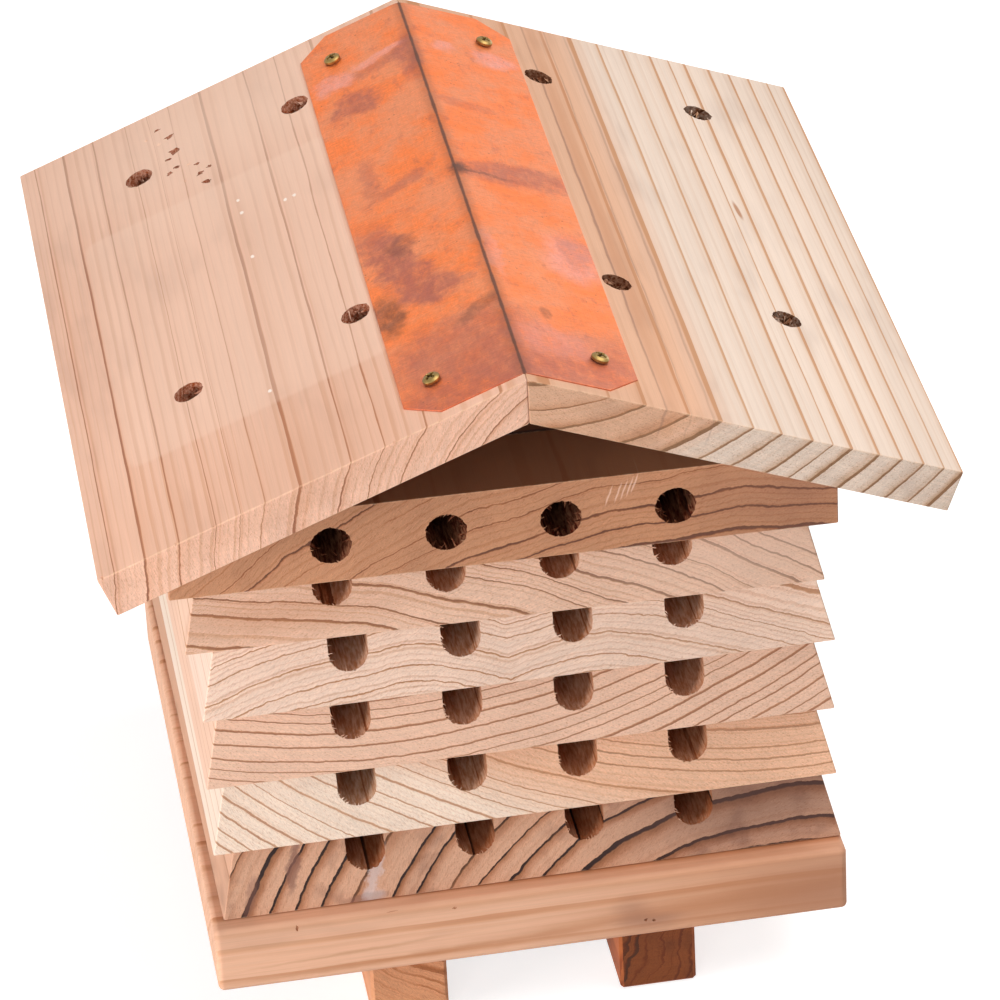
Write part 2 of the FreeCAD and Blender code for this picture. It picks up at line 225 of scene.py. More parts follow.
class Wiring:
    """Adds nodes to one node tree and links them by value."""

    def __init__(self, tree):
        self.tree = tree

    def feed(self, socket, value):
        """Link a socket, or set its plain value."""
        if isinstance(value, bpy.types.NodeSocket):
            self.tree.links.new(value, socket)
        elif value is not None:
            socket.default_value = value

    def add(self, kind, settings=None, **inputs):
        """New node with its settings, and inputs named with _ for a space."""
        made = self.tree.nodes.new("ShaderNode" + kind)
        for name, value in (settings or {}).items():
            setattr(made, name, value)
        for name, value in inputs.items():
            self.feed(made.inputs[name.replace("_", " ")], value)
        return made

    def group(self, tree, values, **inputs):
        """Outputs of a new node for a group, with its plain values by name."""
        made = self.add("Group", {"node_tree": tree}, **inputs)
        for label, value in values.items():
            made.inputs[label].default_value = value
        return made.outputs

    def surface(self, shader, kind="Material"):
        """Make a shader the one that shows."""
        self.feed(self.add("Output" + kind).inputs["Surface"], shader.outputs[0])

    def finish(self, tint, roughness, height, relief, strength=0.3, **inputs):
        """Show a Principled shader with a relief of some depth, and other inputs by name."""
        bump = self.add("Bump", Strength=strength, Distance=relief, Height=height)
        self.surface(self.add("BsdfPrincipled", Base_Color=tint, Roughness=roughness,
                              Normal=bump.outputs[0], **inputs))

    def maths(self, operation, *values, kind="Math"):
        """Result of a Math node."""
        made = self.add(kind, {"operation": operation})
        for socket, value in zip(made.inputs, values):
            self.feed(socket, value)
        return made.outputs["Value"] if operation in ("DOT_PRODUCT", "LENGTH") else made.outputs[0]

    def times(self, first, second):
        """Product of two values."""
        return self.maths("MULTIPLY", first, second)

    def plus(self, first, second):
        """Sum of two values."""
        return self.maths("ADD", first, second)

    def minus(self, first, second):
        """Difference of two values."""
        return self.maths("SUBTRACT", first, second)

    def times_plus(self, first, second, third):
        """Product of two values, and a third added."""
        return self.maths("MULTIPLY_ADD", first, second, third)

    def vector(self, operation, *values):
        """Result of a Vector Math node."""
        return self.maths(operation, *values, kind="VectorMath")

    def stretch(self, point, factors):
        """Vector with each side scaled by its own factor."""
        return self.vector("MULTIPLY", point, factors)

    def grow(self, point, factor):
        """Vector scaled evenly."""
        return self.vector("SCALE", point, None, None, factor)

    def split(self, point):
        """Sides of a vector, by name."""
        return self.add("SeparateXYZ", Vector=point).outputs

    def join(self, x, y, z=None):
        """Vector from its sides."""
        return self.add("CombineXYZ", X=x, Y=y, Z=z).outputs[0]

    def clamp(self, value):
        """Value held between 0 and 1."""
        return self.add("Clamp", Value=value).outputs[0]

    def noise(self, point, scale, detail=2.0, roughness=0.5):
        """Noise about zero, from about -0.5 to 0.5."""
        made = self.add("TexNoise", Vector=point, Scale=scale, Detail=detail, Roughness=roughness)
        return self.minus(made.outputs[0], 0.5)

    def fray(self, point, scale, detail=5.0, roughness=0.65):
        """Vector of noise about zero, to break up an edge."""
        made = self.add("TexNoise", Vector=point, Scale=scale, Detail=detail, Roughness=roughness)
        return self.vector("SUBTRACT", made.outputs["Color"], (0.5, 0.5, 0.5))

    def dots(self, point, low, high):
        """Small round dots, one in each unit of space."""
        made = self.add("TexVoronoi", Vector=point, Scale=1.0)
        return self.ramp(made.outputs["Distance"], low, high, 1.0, 0.0)

    def ramp(self, value, low, high, out_low=0.0, out_high=1.0):
        """Smooth step of a value from one range to another."""
        made = self.add("MapRange", {"interpolation_type": "SMOOTHSTEP"})
        for name, number in zip(("Value", "From Min", "From Max", "To Min", "To Max"),
                                (value, low, high, out_low, out_high)):
            self.feed(made.inputs[name], number)
        return made.outputs[0]

    def blend(self, share, first, second, mode="MIX"):
        """Mix of two colours."""
        made = self.add("Mix", {"data_type": "RGBA", "blend_type": mode})
        for index, value in ((0, share), (6, first), (7, second)):
            if isinstance(value, (list, tuple)):
                value = (*value, 1.0)[:4]
            self.feed(made.inputs[index], value)
        return made.outputs[2]

    def shade(self, colour_in, amount):
        """Colour made lighter or darker by an amount about zero."""
        return self.grow(colour_in, self.plus(amount, 1.0))


def node_group(name, inputs, outputs, wire):
    """Node group of that name, made once. Wire joins its inputs to its outputs."""
    tree = bpy.data.node_groups.get(name)
    if not tree:
        tree = bpy.data.node_groups.new(name, "ShaderNodeTree")
        for direction, sockets in (("INPUT", inputs), ("OUTPUT", outputs)):
            for label, kind in sockets:
                tree.interface.new_socket(label, in_out=direction, socket_type="NodeSocket" + kind)
        give = tree.nodes.new("NodeGroupInput").outputs
        take = tree.nodes.new("NodeGroupOutput").inputs
        wire(Wiring(tree), give, take)
    return tree


def emptied(holder):
    """Wiring of the empty node tree of a material or world."""
    holder.use_nodes = True
    holder.node_tree.nodes.clear()
    return Wiring(holder.node_tree)


def new_material(name):
    """New material and its wiring."""
    made = bpy.data.materials.new(name)
    return made, emptied(made)


# Marks


class Mark(NamedTuple):
    """Patch of another colour on a surface, in millimetres on its own plane. A square of 2 is round."""
    place: tuple
    size: tuple
    tint: str
    strength: float = 0.6
    lean: float = 0.0
    fray: float = 5.0
    soft: float = 0.5
    square: float = 2.0


PATCH_INPUTS = (
    ("Point", "Vector"), ("Place", "Vector"), ("Size", "Vector"), ("Lean", "Float"), ("Soft", "Float"),
    ("Square", "Float"), ("Strength", "Float"),
)
PATCH_OUTPUTS = (("Mask", "Float"),)


def wire_patch(w, give, take):
    """Mask of one patch on a plane."""
    turned = w.add("VectorRotate", {"rotation_type": "Z_AXIS"}, Vector=give["Point"], Center=give["Place"],
                   Angle=w.times(give["Lean"], -1.0)).outputs[0]
    apart = w.vector("DIVIDE", w.vector("SUBTRACT", turned, give["Place"]), give["Size"])
    sides = w.split(w.vector("ABSOLUTE", apart))
    square = give["Square"]
    reach = w.plus(w.maths("POWER", sides["X"], square), w.maths("POWER", sides["Y"], square))
    reach = w.maths("POWER", reach, w.maths("DIVIDE", 1.0, square))
    mask = w.ramp(reach, w.minus(1.0, give["Soft"]), w.times_plus(give["Soft"], 0.4, 1.0), 1.0, 0.0)
    w.feed(take["Mask"], w.times(mask, give["Strength"]))


def marked(w, tint, flat, fray, marks, palette, cover):
    """Colour with marks laid over it. Fray breaks up their edges, and cover is where they show."""
    for mark in marks:
        values = {"Place": (*mark.place, 0), "Size": (*mark.size, 1), "Lean": math.radians(mark.lean),
                  "Soft": mark.soft, "Square": mark.square, "Strength": mark.strength}
        point = w.vector("MULTIPLY_ADD", fray, (mark.fray, mark.fray, 0), flat)
        patch = w.group(node_group("Patch", PATCH_INPUTS, PATCH_OUTPUTS, wire_patch), values, Point=point)
        tint = w.blend(w.times(patch["Mask"], cover), tint, tuple(getattr(palette, mark.tint)))
    return tint


# Wood


class Log(NamedTuple):
    """How a board lay in its tree, in millimetres from the middle of its front end, and its marks."""
    pith: tuple
    spacing: float
    tighten: float = 0.0
    wave: float = 2.0
    wave_size: float = 40.0
    kink: float = 0.5
    line_width: float = 0.12
    line_strength: float = 0.9
    shadow: float = 0.25
    sap: tuple = (10000.0, 10.0)
    notch: tuple = (0.0, 0.0, 10.0)
    stain: float = 0.15
    end_dark: float = 0.0
    end_tone: float = 0.0
    streak: float = 0.3
    even: float = 0.0
    side: float = 0.4
    # Painted shade: how much darker the upward faces are made, for the shade that the roof casts on them
    painted_top_shade: float = 0.0
    seed: float = 0.0
    marks: tuple = ()


LOGS = {
    "roof_left": Log(
        pith=(10.6, -50), spacing=6.8, wave=1.0, wave_size=60, kink=0.4, line_width=0.04, line_strength=0.8,
        shadow=0.2, even=0.3, end_dark=0.15, end_tone=-0.12, streak=0.4, side=1, seed=3,
        marks=(Mark((-60, 93), (34, 55), "pale", 0.25, square=24, fray=0.5, soft=0.03),
               # Painted light: a broad soft patch lightens the rear of the board
               Mark((-50, 180), (70, 50), "pale", 0.5, soft=1),
               # Painted shade: a broad soft darkening over the front of the board, where less light falls
               Mark((-60, 8), (70, 34), "streak", 0.16, soft=1),
               *(Mark(place, (0.5, 0.8), "flake", 0.9, fray=2, soft=0.4) for place in (
                   (-53.1, 135.2), (-52.9, 128.7), (-41.8, 125.3), (-39.3, 125.6), (-52.9, 106.5),
                   (-57.2, 44.3))))),
    "roof_right": Log(
        pith=(-12.6, 50), spacing=11.6, tighten=0.00053, wave=1.0, wave_size=60, kink=0.25, line_width=0.09,
        line_strength=0.75, shadow=0.3, sap=(78, 5), end_dark=0.6, end_tone=0.06, streak=0.15, side=1,
        seed=8,
        marks=(Mark((35, 100), (2.2, 130), "streak", 0.5, fray=2, soft=0.9),
               Mark((33.4, 100), (0.4, 140), "bruise", 0.6, fray=1.5, soft=0.8),
               Mark((39.5, 100), (0.3, 140), "bruise", 0.35, fray=1.5, soft=0.8),
               Mark((45, 100), (0.4, 140), "bruise", 0.35, fray=1.5, soft=0.8),
               Mark((75.4, 115), (0.7, 5), "resin", 0.8, lean=4, fray=0.6))),
    "block": Log(
        pith=(45, -162), spacing=5.5, wave=3.0, wave_size=30, kink=0.55, line_width=0.07, shadow=0.16,
        # Painted shade: the block's upward faces are darkened, for the shade under the roof
        streak=0.4, painted_top_shade=0.55, seed=15,
        marks=(Mark((66, 0), (26, 14), "bruise", 0.3, soft=1),
               *(Mark(place, (0.25, 3), "pale", 0.6, lean=-20, fray=0.6, soft=0.5) for place in (
                   (22.2, 4.8), (24.4, 5.4), (25.8, 6), (27.2, 6.6), (28.4, 7.4))))),
    "tray_5": Log(
        pith=(-100, -270), spacing=5, wave=2.5, wave_size=36, kink=0.4, line_width=0.08, line_strength=1.1,
        shadow=0.12, stain=0.05, end_tone=-0.06, streak=0.5, even=0.4, seed=21,
        # Painted light: the first patch lightens the right end of the tray
        marks=(Mark((56, 0), (40, 14), "pale", 0.4, soft=1),
               Mark((-58, -3), (34, 7), "streak", 0.4, soft=1),
               Mark((-29.7, 6.4), (2, 1), "smear", 0.7, fray=2),
               Mark((-25, 6), (2.2, 1.1), "smear", 0.7, fray=2),
               Mark((-22, 7.2), (1.3, 1), "smear", 0.7, fray=2))),
    "tray_4": Log(
        pith=(-15, -200), spacing=4.5, wave=2, wave_size=36, kink=0.45, line_width=0.08, line_strength=1.0,
        shadow=0.14, notch=(-2, 6, 26), stain=0.0, end_tone=-0.13, streak=0.5, even=0.4, seed=27,
        # Painted light: a broad soft patch lightens the right end of the tray
        marks=(Mark((56, 0), (50, 16), "pale", 0.2, soft=1),)),
    "tray_3": Log(
        pith=(-29, 185), spacing=3.0, wave=1.5, wave_size=50, kink=0.25, line_width=0.115, shadow=0.12,
        stain=0.05, end_tone=-0.06, streak=0.15, even=0.75, seed=33),
    "tray_2": Log(
        pith=(70, 170), spacing=3.7, wave=1.5, wave_size=45, kink=0.3, line_width=0.1, line_strength=0.8,
        shadow=0.12, sap=(188, 8), stain=0.05, end_tone=-0.1, streak=0.25, even=0.5, seed=39),
    "tray_1": Log(
        pith=(58, -70), spacing=6.2, wave=3, wave_size=40, kink=0.4, line_width=0.1, line_strength=1.2,
        shadow=0.45, stain=0.5, streak=0.2, even=0.45, seed=45,
        marks=(Mark((-38, -4), (1.6, 9), "smear", 0.55, lean=-20),
               Mark((-40, -8.6), (6, 1.4), "bruise", 0.6, lean=4, fray=2),
               Mark((-38, -8.2), (3, 1.6), "smear", 0.4, fray=3),
               Mark((-68, -5), (1.6, 6), "bruise", 0.45, lean=-16, fray=3),
               Mark((-57, 2), (1.6, 8), "bruise", 0.7, lean=-14),
               Mark((60, 2), (40, 16), "bruise", 0.4, soft=1),
               Mark((60, 2), (40, 16), "tray_1_line", 0.3, soft=1))),
    "base": Log(
        # Painted light: end_dark below zero fades and lightens the lines on the base's ends, for the glare
        # on its left end
        pith=(60, -90), spacing=7, wave=4, wave_size=60, line_width=0.14, line_strength=0.45, end_dark=-0.6,
        streak=0.2, side=0.8, seed=51,
        marks=(Mark((40, -2), (80, 2.6), "streak", 0.5, lean=3, fray=4, soft=1),
               Mark((-30, -5.5), (55, 1), "streak", 0.6, lean=2, fray=3, soft=1),
               Mark((-45, -2), (28, 0.7), "streak", 0.45, lean=3, fray=3, soft=1),
               Mark((0, 8), (100, 2), "streak", 0.35, fray=3, soft=1),
               # Two broad soft patches darken the right end of the base
               Mark((66, -2), (56, 16), "streak", 0.7, soft=1),
               Mark((78, -3), (34, 14), "bruise", 0.35, soft=1),
               Mark((28.5, -4.8), (9, 3), "bruise", 0.4, soft=1),
               Mark((24, -1), (5, 5), "bruise", 0.25, soft=1))),
    "foot_left": Log(
        pith=(40, 60), spacing=3, wave=3, wave_size=20, line_width=0.3, line_strength=0.55, stain=0.2,
        end_tone=0.04, seed=57),
    "foot_right": Log(
        pith=(-60, 20), spacing=3.2, wave=5, wave_size=12, kink=1.2, line_width=0.26, line_strength=0.7,
        stain=0.6, end_tone=0.58, seed=71),
    "gable": Log(pith=(10, -140), spacing=5, wave=3, side=0.8, seed=63),
}

# Fields of a log that the rings take as they are, and the colours that they take
RING_NUMBERS = (
    "spacing", "tighten", "wave", "wave_size", "kink", "line_width", "line_strength", "shadow", "stain",
    "end_dark", "end_tone", "streak", "even", "seed",
)
RING_COLOURS = ("Early", "Late", "Sap", "Stain Colour", "Torn Colour", "Worn Colour")

# What fine lines, bold lines and pores leave of the wood's own colour
FINE_TINT = (0.72, 0.52, 0.36)
LATE_TINT = (0.76, 0.56, 0.4)
PORE_TINT = (0.66, 0.47, 0.34)


def socket_name(field):
    """Name of the socket that takes a field of a log."""
    return field.replace("_", " ").title()


RING_INPUTS = (
    ("Point", "Vector"), ("End Grain", "Float"), ("Pith", "Vector"), ("Sap Radius", "Float"),
    ("Sap Blend", "Float"), ("Notch Place", "Float"), ("Notch Depth", "Float"), ("Notch Width", "Float"),
    ("Side Lines", "Float"), ("Torn", "Float"), ("Worn", "Float"),
    *((socket_name(field), "Float") for field in RING_NUMBERS), *((name, "Color") for name in RING_COLOURS),
)
RING_OUTPUTS = (("Colour", "Color"), ("Height", "Float"), ("Roughness", "Float"))


def ring_polar(w, give, point):
    """Distance from the pith, with the wander, kinks and dips of real rings, and the way round it."""
    drawn = w.stretch(point, (1.0, 0.06, 1.0))
    across = w.vector("SUBTRACT", give["Point"], give["Pith"])
    radius = w.vector("LENGTH", w.stretch(across, (1.0, 0.0, 1.0)))
    sides = w.split(across)
    arc = w.times(w.maths("ARCTAN2", sides["Z"], sides["X"]), radius)
    broad = w.noise(drawn, w.maths("DIVIDE", 1.0, give["Wave Size"]), 1.5)
    close = w.noise(drawn, 0.16, 5.0, 0.68)
    radius = w.times_plus(broad, w.times(give["Wave"], 2.4), radius)
    radius = w.times_plus(close, w.times(give["Kink"], 2.6), radius)
    radius = w.times_plus(w.noise(drawn, 0.4, 2.0), w.times(give["Kink"], 1.8), radius)
    aside = w.maths("ABSOLUTE", w.minus(w.split(give["Point"])["X"], give["Notch Place"]))
    dip = w.minus(1.0, w.maths("DIVIDE", aside, give["Notch Width"]))
    dip = w.maths("POWER", w.maths("MAXIMUM", dip, 0.0), 1.5)
    return w.times_plus(dip, give["Notch Depth"], radius), arc


def ring_lines(w, count, seed, width, shadow, drawn, even):
    """Dark late wood at the outer edge of each ring, and the soft shading that leads up to it."""
    share = w.maths("FRACT", count)
    each = w.add("TexWhiteNoise", {"noise_dimensions": "2D"},
                 Vector=w.join(w.maths("FLOOR", count), seed)).outputs["Value"]
    varied = w.times_plus(each, 1.1, 0.45)
    varied = w.times_plus(w.minus(1.0, varied), even, varied)
    width = w.times(varied, width)
    rise = w.ramp(share, w.minus(1.0, w.times(width, 1.8)), w.minus(1.0, w.times(width, 0.7)))
    fall = w.ramp(share, w.minus(1.0, w.times(width, 0.25)), 1.0, 1.0, 0.0)
    patchy = w.noise(drawn, 0.1, 3.0, 0.6)
    strength = w.times_plus(each, 0.85, w.times_plus(patchy, 1.3, 0.35))
    strength = w.times_plus(w.minus(1.0, strength), even, strength)
    line = w.times(w.times(rise, fall), strength)
    soft = w.times(w.ramp(share, 0.3, 0.97), fall)
    return w.maths("MAXIMUM", line, w.times(soft, w.times(strength, shadow)))


def wire_rings(w, give, take):
    """Growth rings, fibres and pores of a board cut from a log along Y."""
    end = give["End Grain"]
    seed = give["Seed"]
    point = w.vector("ADD", give["Point"], w.grow((7.1, 3.3, 5.7), seed))
    drawn = w.stretch(point, (1.0, 0.1, 1.0))
    radius, arc = ring_polar(w, give, point)
    polar = w.join(radius, arc, w.times(w.split(point)["Y"], 0.06))
    count = w.plus(w.maths("DIVIDE", radius, give["Spacing"]),
                   w.times(w.times(radius, radius), give["Tighten"]))
    uneven = w.noise(w.join(w.times(count, 0.43), seed), 1.0, 0.0)
    count = w.times_plus(uneven, 1.5, count)
    late = ring_lines(w, count, seed, give["Line Width"], give["Shadow"], drawn, give["Even"])
    fine = ring_lines(w, w.times(count, 3.3), seed, 0.2, 0.2, drawn, 0.0)
    clear = w.times_plus(end, w.minus(1.0, give["Side Lines"]), give["Side Lines"])

    # Body colour: heart and sap, slow changes of tone, fine streaks along the rings
    sap = w.ramp(radius, w.minus(give["Sap Radius"], give["Sap Blend"]),
                 w.plus(give["Sap Radius"], give["Sap Blend"]))
    body = w.blend(sap, give["Early"], give["Sap"])
    tone = w.noise(w.stretch(point, (1.0, 0.15, 1.0)), 0.035, 3.0)
    body = w.shade(body, w.times(tone, 0.3))
    cloud = w.ramp(w.noise(w.stretch(point, (1.0, 0.3, 1.0)), 0.09, 3.0), 0.0, 0.25)
    body = w.blend(w.times(cloud, give["Stain"]), body, give["Stain Colour"], "MULTIPLY")
    streak = w.noise(w.stretch(polar, (1.7, 0.07, 1.0)), 1.0, 4.0, 0.7)
    body = w.shade(body, w.times(streak, w.times_plus(end, 0.1, 0.14)))

    # Late wood: the fine lines, then the bold ones
    fine = w.times(w.clamp(fine), w.times(give["Streak"], clear))
    body = w.blend(fine, body, FINE_TINT, "MULTIPLY")
    heavy = w.times(end, give["End Dark"])
    late = w.clamp(w.times(w.times(late, give["Line Strength"]), w.plus(heavy, clear)))
    body = w.blend(w.ramp(late, 0.0, 0.5), body, LATE_TINT, "MULTIPLY")
    body = w.blend(w.ramp(late, 0.15, 1.0), body, w.shade(give["Late"], w.times(heavy, -0.8)))

    # Fibres drawn out along the grain, and open pores that show on the ends
    body = w.shade(body, w.times(w.times(end, give["End Tone"]), -1.0))
    fibre = w.noise(w.stretch(point, (3.0, 0.035, 3.0)), 1.0, 3.0, 0.65)
    ray = w.noise(w.stretch(polar, (0.3, 2.2, 1.0)), 1.0, 2.0)
    cell = w.noise(w.stretch(polar, (3.4, 2.6, 2.0)), 1.0, 4.0, 0.8)
    pore = w.times(w.dots(w.stretch(polar, (2.0, 1.6, 1.0)), 0.06, 0.36), end)
    chalk = w.times(w.ramp(cell, -0.02, -0.25), end)
    sawn = w.times(w.plus(ray, w.times(chalk, 1.3)), end)
    grain = w.times(fibre, w.times_plus(end, 0.2, 0.2))
    body = w.shade(body, w.times_plus(sawn, 0.3, grain))
    body = w.blend(w.times(pore, 0.7), body, PORE_TINT, "MULTIPLY")

    # Torn wood inside the holes, and bare fibres along worn edges
    ragged = w.noise(w.stretch(point, (1.6, 0.25, 1.6)), 1.0, 4.0, 0.65)
    torn = w.times(give["Torn"], w.ramp(ragged, -0.16, 0.16, 1.0, 0.5))
    body = w.blend(torn, body, give["Torn Colour"], "MULTIPLY")
    bare = w.ramp(w.noise(w.stretch(point, (0.5, 0.3, 0.5)), 1.0, 5.0, 0.7), -0.12, 0.16)
    body = w.blend(w.times(bare, give["Worn"]), body, give["Worn Colour"])
    w.feed(take["Colour"], body)

    height = w.times_plus(late, 0.2, w.times(fibre, 0.6))
    height = w.times_plus(pore, -0.4, height)
    coarse = w.times_plus(give["Torn"], 4.0, w.times(give["Worn"], 1.5))
    w.feed(take["Height"], w.times_plus(ragged, coarse, height))
    w.feed(take["Roughness"], w.times_plus(fibre, 0.25, 0.66))


def cedar(name, log, palette, colours, origin, grain=(0, 1, 0), turn=(0, 0, 0), flat="XZ", torn=0.0,
          worn=0.0):
    """Bare cedar. The origin is the middle of the board's front end, the turn lays its grain along Y, and
    flat is the plane that its marks lie on."""
    made, w = new_material(name)
    place = w.add("TexCoord").outputs
    shifted = w.vector("SUBTRACT", place["Object"], tuple(origin))
    point = w.add("Mapping", Vector=shifted, Rotation=turn, Scale=(1 / MM, 1 / MM, 1 / MM)).outputs[0]
    lengthwise = w.maths("ABSOLUTE", w.vector("DOT_PRODUCT", place["Normal"], tuple(grain)))
    values = {socket_name(field): getattr(log, field) for field in RING_NUMBERS}
    values.update(zip(("Sap Radius", "Sap Blend"), log.sap))
    values.update(zip(("Notch Place", "Notch Depth", "Notch Width"), log.notch))
    values.update(zip(RING_COLOURS, ((*value, 1) for value in colours)))
    values["Pith"] = (log.pith[0], 0, log.pith[1])
    values["Side Lines"] = max(log.side, torn)
    values["Torn"] = torn
    values["Worn"] = worn
    rings = w.group(node_group("Cedar rings", RING_INPUTS, RING_OUTPUTS, wire_rings), values, Point=point,
                    End_Grain=w.ramp(lengthwise, 0.6, 0.9))
    tint = rings["Colour"]
    if log.marks and not torn:
        parts = w.split(point if flat == "XY" else w.grow(shifted, 1 / MM))
        plane = w.join(parts["X"], parts[flat[1]])
        cover = w.ramp(parts["Y"], 5.0, 9.0, 1.0, 0.0) if flat == "XZ" else w.ramp(parts["Z"], -8.0, -5.0)
        fray = w.fray(w.stretch(point, (1.0, 0.15, 1.0)), 0.3)
        tint = marked(w, tint, plane, fray, log.marks, palette, cover)
    # Painted shade: upward faces are darkened for the shade under the roof
    if log.painted_top_shade:
        upward = w.ramp(w.vector("DOT_PRODUCT", place["Normal"], (0, 0, 1)), 0.8, 0.95)
        tint = w.shade(tint, w.times(upward, -log.painted_top_shade))
    w.finish(tint, rings["Roughness"], rings["Height"], 0.14 * MM, 0.6,
             Specular_IOR_Level=0.1 if torn else 0.3)
    return made


# Metals


SCUFF_INPUTS = (("Point", "Vector"),)
SCUFF_OUTPUTS = (("Scratch", "Float"), ("Dull", "Float"))


def wire_scuffs(w, give, take):
    """Fine scratches and dull patches of sheet and plated metal."""
    fine = w.noise(w.stretch(give["Point"], (5.0, 0.12, 5.0)), 1.0, 2.0)
    crossed = w.noise(w.stretch(give["Point"], (0.2, 4.0, 0.2)), 1.0, 2.0)
    w.feed(take["Scratch"], w.plus(fine, crossed))
    w.feed(take["Dull"], w.noise(give["Point"], 0.15, 4.0, 0.6))


def metal_start(name, start=(0, 0, 0)):
    """New metal material with its wiring, its place in millimetres from the start, and its scuffs."""
    made, w = new_material(name)
    place = w.grow(w.add("TexCoord").outputs["Object"], 1 / MM)
    point = w.vector("SUBTRACT", place, start)
    scuffs = w.group(node_group("Metal scuffs", SCUFF_INPUTS, SCUFF_OUTPUTS, wire_scuffs), {}, Point=point)
    return made, w, point, scuffs


# Tarnish on the strip, with painted shade on its front end and a painted highlight beside the bend: across
# the ridge, and back from the roof's front end
COPPER_MARKS = (
    # Painted shade over tarnish: these two patches darken the strip's front end, for the darker room it
    # mirrors there
    Mark((-13, 6), (24, 12), "copper_dark", 0.7), Mark((14, 12), (26, 22), "copper_dark", 0.7, soft=0.8),
    Mark((-12, 27), (18, 15), "copper_dark", 0.65, fray=9), Mark((9, 22), (10, 9), "copper_pale", 0.4),
    Mark((16, 33), (9, 6), "copper_warm", 0.7), Mark((-8, 173), (8, 2.6), "copper_pale", 0.8, lean=14),
    Mark((-2, 166), (4, 14), "copper_dark", 0.75), Mark((-10, 168), (9, 3), "copper_dark", 0.5, lean=14),
    Mark((-21, 169), (6, 4.5), "copper_pale", 0.85), Mark((-17, 154), (7, 6.5), "copper_dark", 0.8, fray=8),
    Mark((8, 173), (4, 2.5), "copper_pale", 0.7), Mark((20, 171), (6, 5), "copper_pale", 0.9),
    Mark((-19, 72), (24, 6), "copper_dark", 0.85, lean=-78, fray=8),
    Mark((-17, 78), (4, 6), "copper_crease", 0.35),
    Mark((-13, 54), (8, 6), "copper_dark", 0.8, fray=8),
    Mark((-24.5, 51), (4.5, 10), "copper_crease", 0.75),
    Mark((14, 105), (18, 7), "copper_dark", 0.7, lean=6, fray=7),
    Mark((6, 103), (9, 1.2), "copper_crease", 0.5, lean=-8),
    Mark((0.5, 103), (2.4, 4), "copper_crease", 0.8),
    Mark((21, 66), (8, 13), "copper_pale", 0.8), Mark((23, 70), (5, 9), "copper_dark", 0.4, fray=9),
    # Painted highlight: the narrow pale streak just beside the bend at 62 mm
    Mark((10, 35), (1.6, 3), "copper_crease", 0.5, fray=2), Mark((2.4, 62), (2.4, 13), "copper_pale", 0.5),
    Mark((-5, 38), (7, 3), "copper_crease", 0.4, lean=25),
    Mark((-12, 108), (8, 3), "copper_dark", 0.5, lean=20),
    Mark((-20, 115), (3, 12), "copper_dark", 0.4, fray=8),
    Mark((8, 140), (8, 3), "copper_dark", 0.35, lean=-15),
)


def copper_finish(colours):
    """Tarnished copper: orange with pink and purple clouds, swirled rubbing, specks and a dark crease."""
    low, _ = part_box("roof_board_right")
    made, w, point, scuffs = metal_start("copper_tarnish", (0, low.y / MM, 0))
    parts = w.split(point)
    plane = w.join(parts["X"], parts["Y"])
    cloud = w.noise(plane, 0.06, 6.0, 0.65)
    tint = w.blend(w.ramp(cloud, -0.12, 0.12), tuple(colours.copper), tuple(colours.copper_warm))
    fray = w.grow(w.fray(plane, 0.11, 9.0, 0.7), 2.2)
    smoke = w.ramp(w.noise(w.stretch(plane, (1.0, 0.55, 1.0)), 0.3, 9.0, 0.75), -0.25, 0.1, 0.25, 1.0)
    tint = marked(w, tint, plane, fray, COPPER_MARKS, colours, smoke)
    mottle = w.noise(w.stretch(plane, (1.0, 0.6, 1.0)), 0.2, 8.0, 0.62)
    tint = w.blend(w.ramp(mottle, 0.05, 0.24, 0.0, 0.5), tint, tuple(colours.copper_dark))

    # Rubbing: swirls, hair lines, and brush strokes that lie aslant
    swirl = w.add("TexNoise", Vector=w.stretch(plane, (0.55, 0.22, 1.0)), Scale=1.0, Detail=4.0,
                  Roughness=0.65, Distortion=3.0).outputs[0]
    swirl = w.minus(swirl, 0.5)
    hair = w.ramp(w.maths("ABSOLUTE", swirl), 0.0, 0.012, 1.0, 0.0)
    hair = w.times(hair, w.ramp(w.noise(plane, 0.09, 2.0), 0.0, 0.2))
    brushed = w.add("Mapping", Vector=plane, Rotation=(0, 0, math.radians(35)), Scale=(0.5, 2.6, 1))
    stroke = w.noise(brushed.outputs[0], 1.0, 4.0, 0.7)
    rubbed = w.times_plus(swirl, 0.45, w.times(stroke, 0.6))
    rubbed = w.times_plus(hair, -0.22, rubbed)
    tint = w.shade(tint, w.times_plus(scuffs["Scratch"], 0.14, rubbed))

    # Dark specks, and the dark line along the bend
    speck = w.dots(w.grow(plane, 0.45), 0.06, 0.13)
    thick = w.ramp(w.noise(plane, 0.05, 2.0), -0.08, 0.14, 0.05, 0.5)
    tint = w.blend(w.times(speck, thick), tint, tuple(colours.copper_crease))
    wander = w.times(w.noise(plane, 0.12, 4.0, 0.65), 0.7)
    aside = w.plus(w.maths("ABSOLUTE", parts["X"]), wander)
    crease = w.times(w.ramp(aside, 0.05, 0.6, 1.0, 0.0), 0.8)
    crease = w.plus(crease, w.ramp(aside, 0.3, 3.0, 0.3, 0.0))
    tint = w.blend(w.maths("MINIMUM", crease, 0.92), tint, tuple(colours.copper_crease))
    rough = w.times_plus(w.plus(swirl, scuffs["Dull"]), 0.25, 0.48)
    metal = w.times_plus(scuffs["Dull"], 0.4, 0.75)
    w.finish(tint, rough, w.plus(scuffs["Scratch"], swirl), 0.06 * MM, Metallic=metal)
    return made


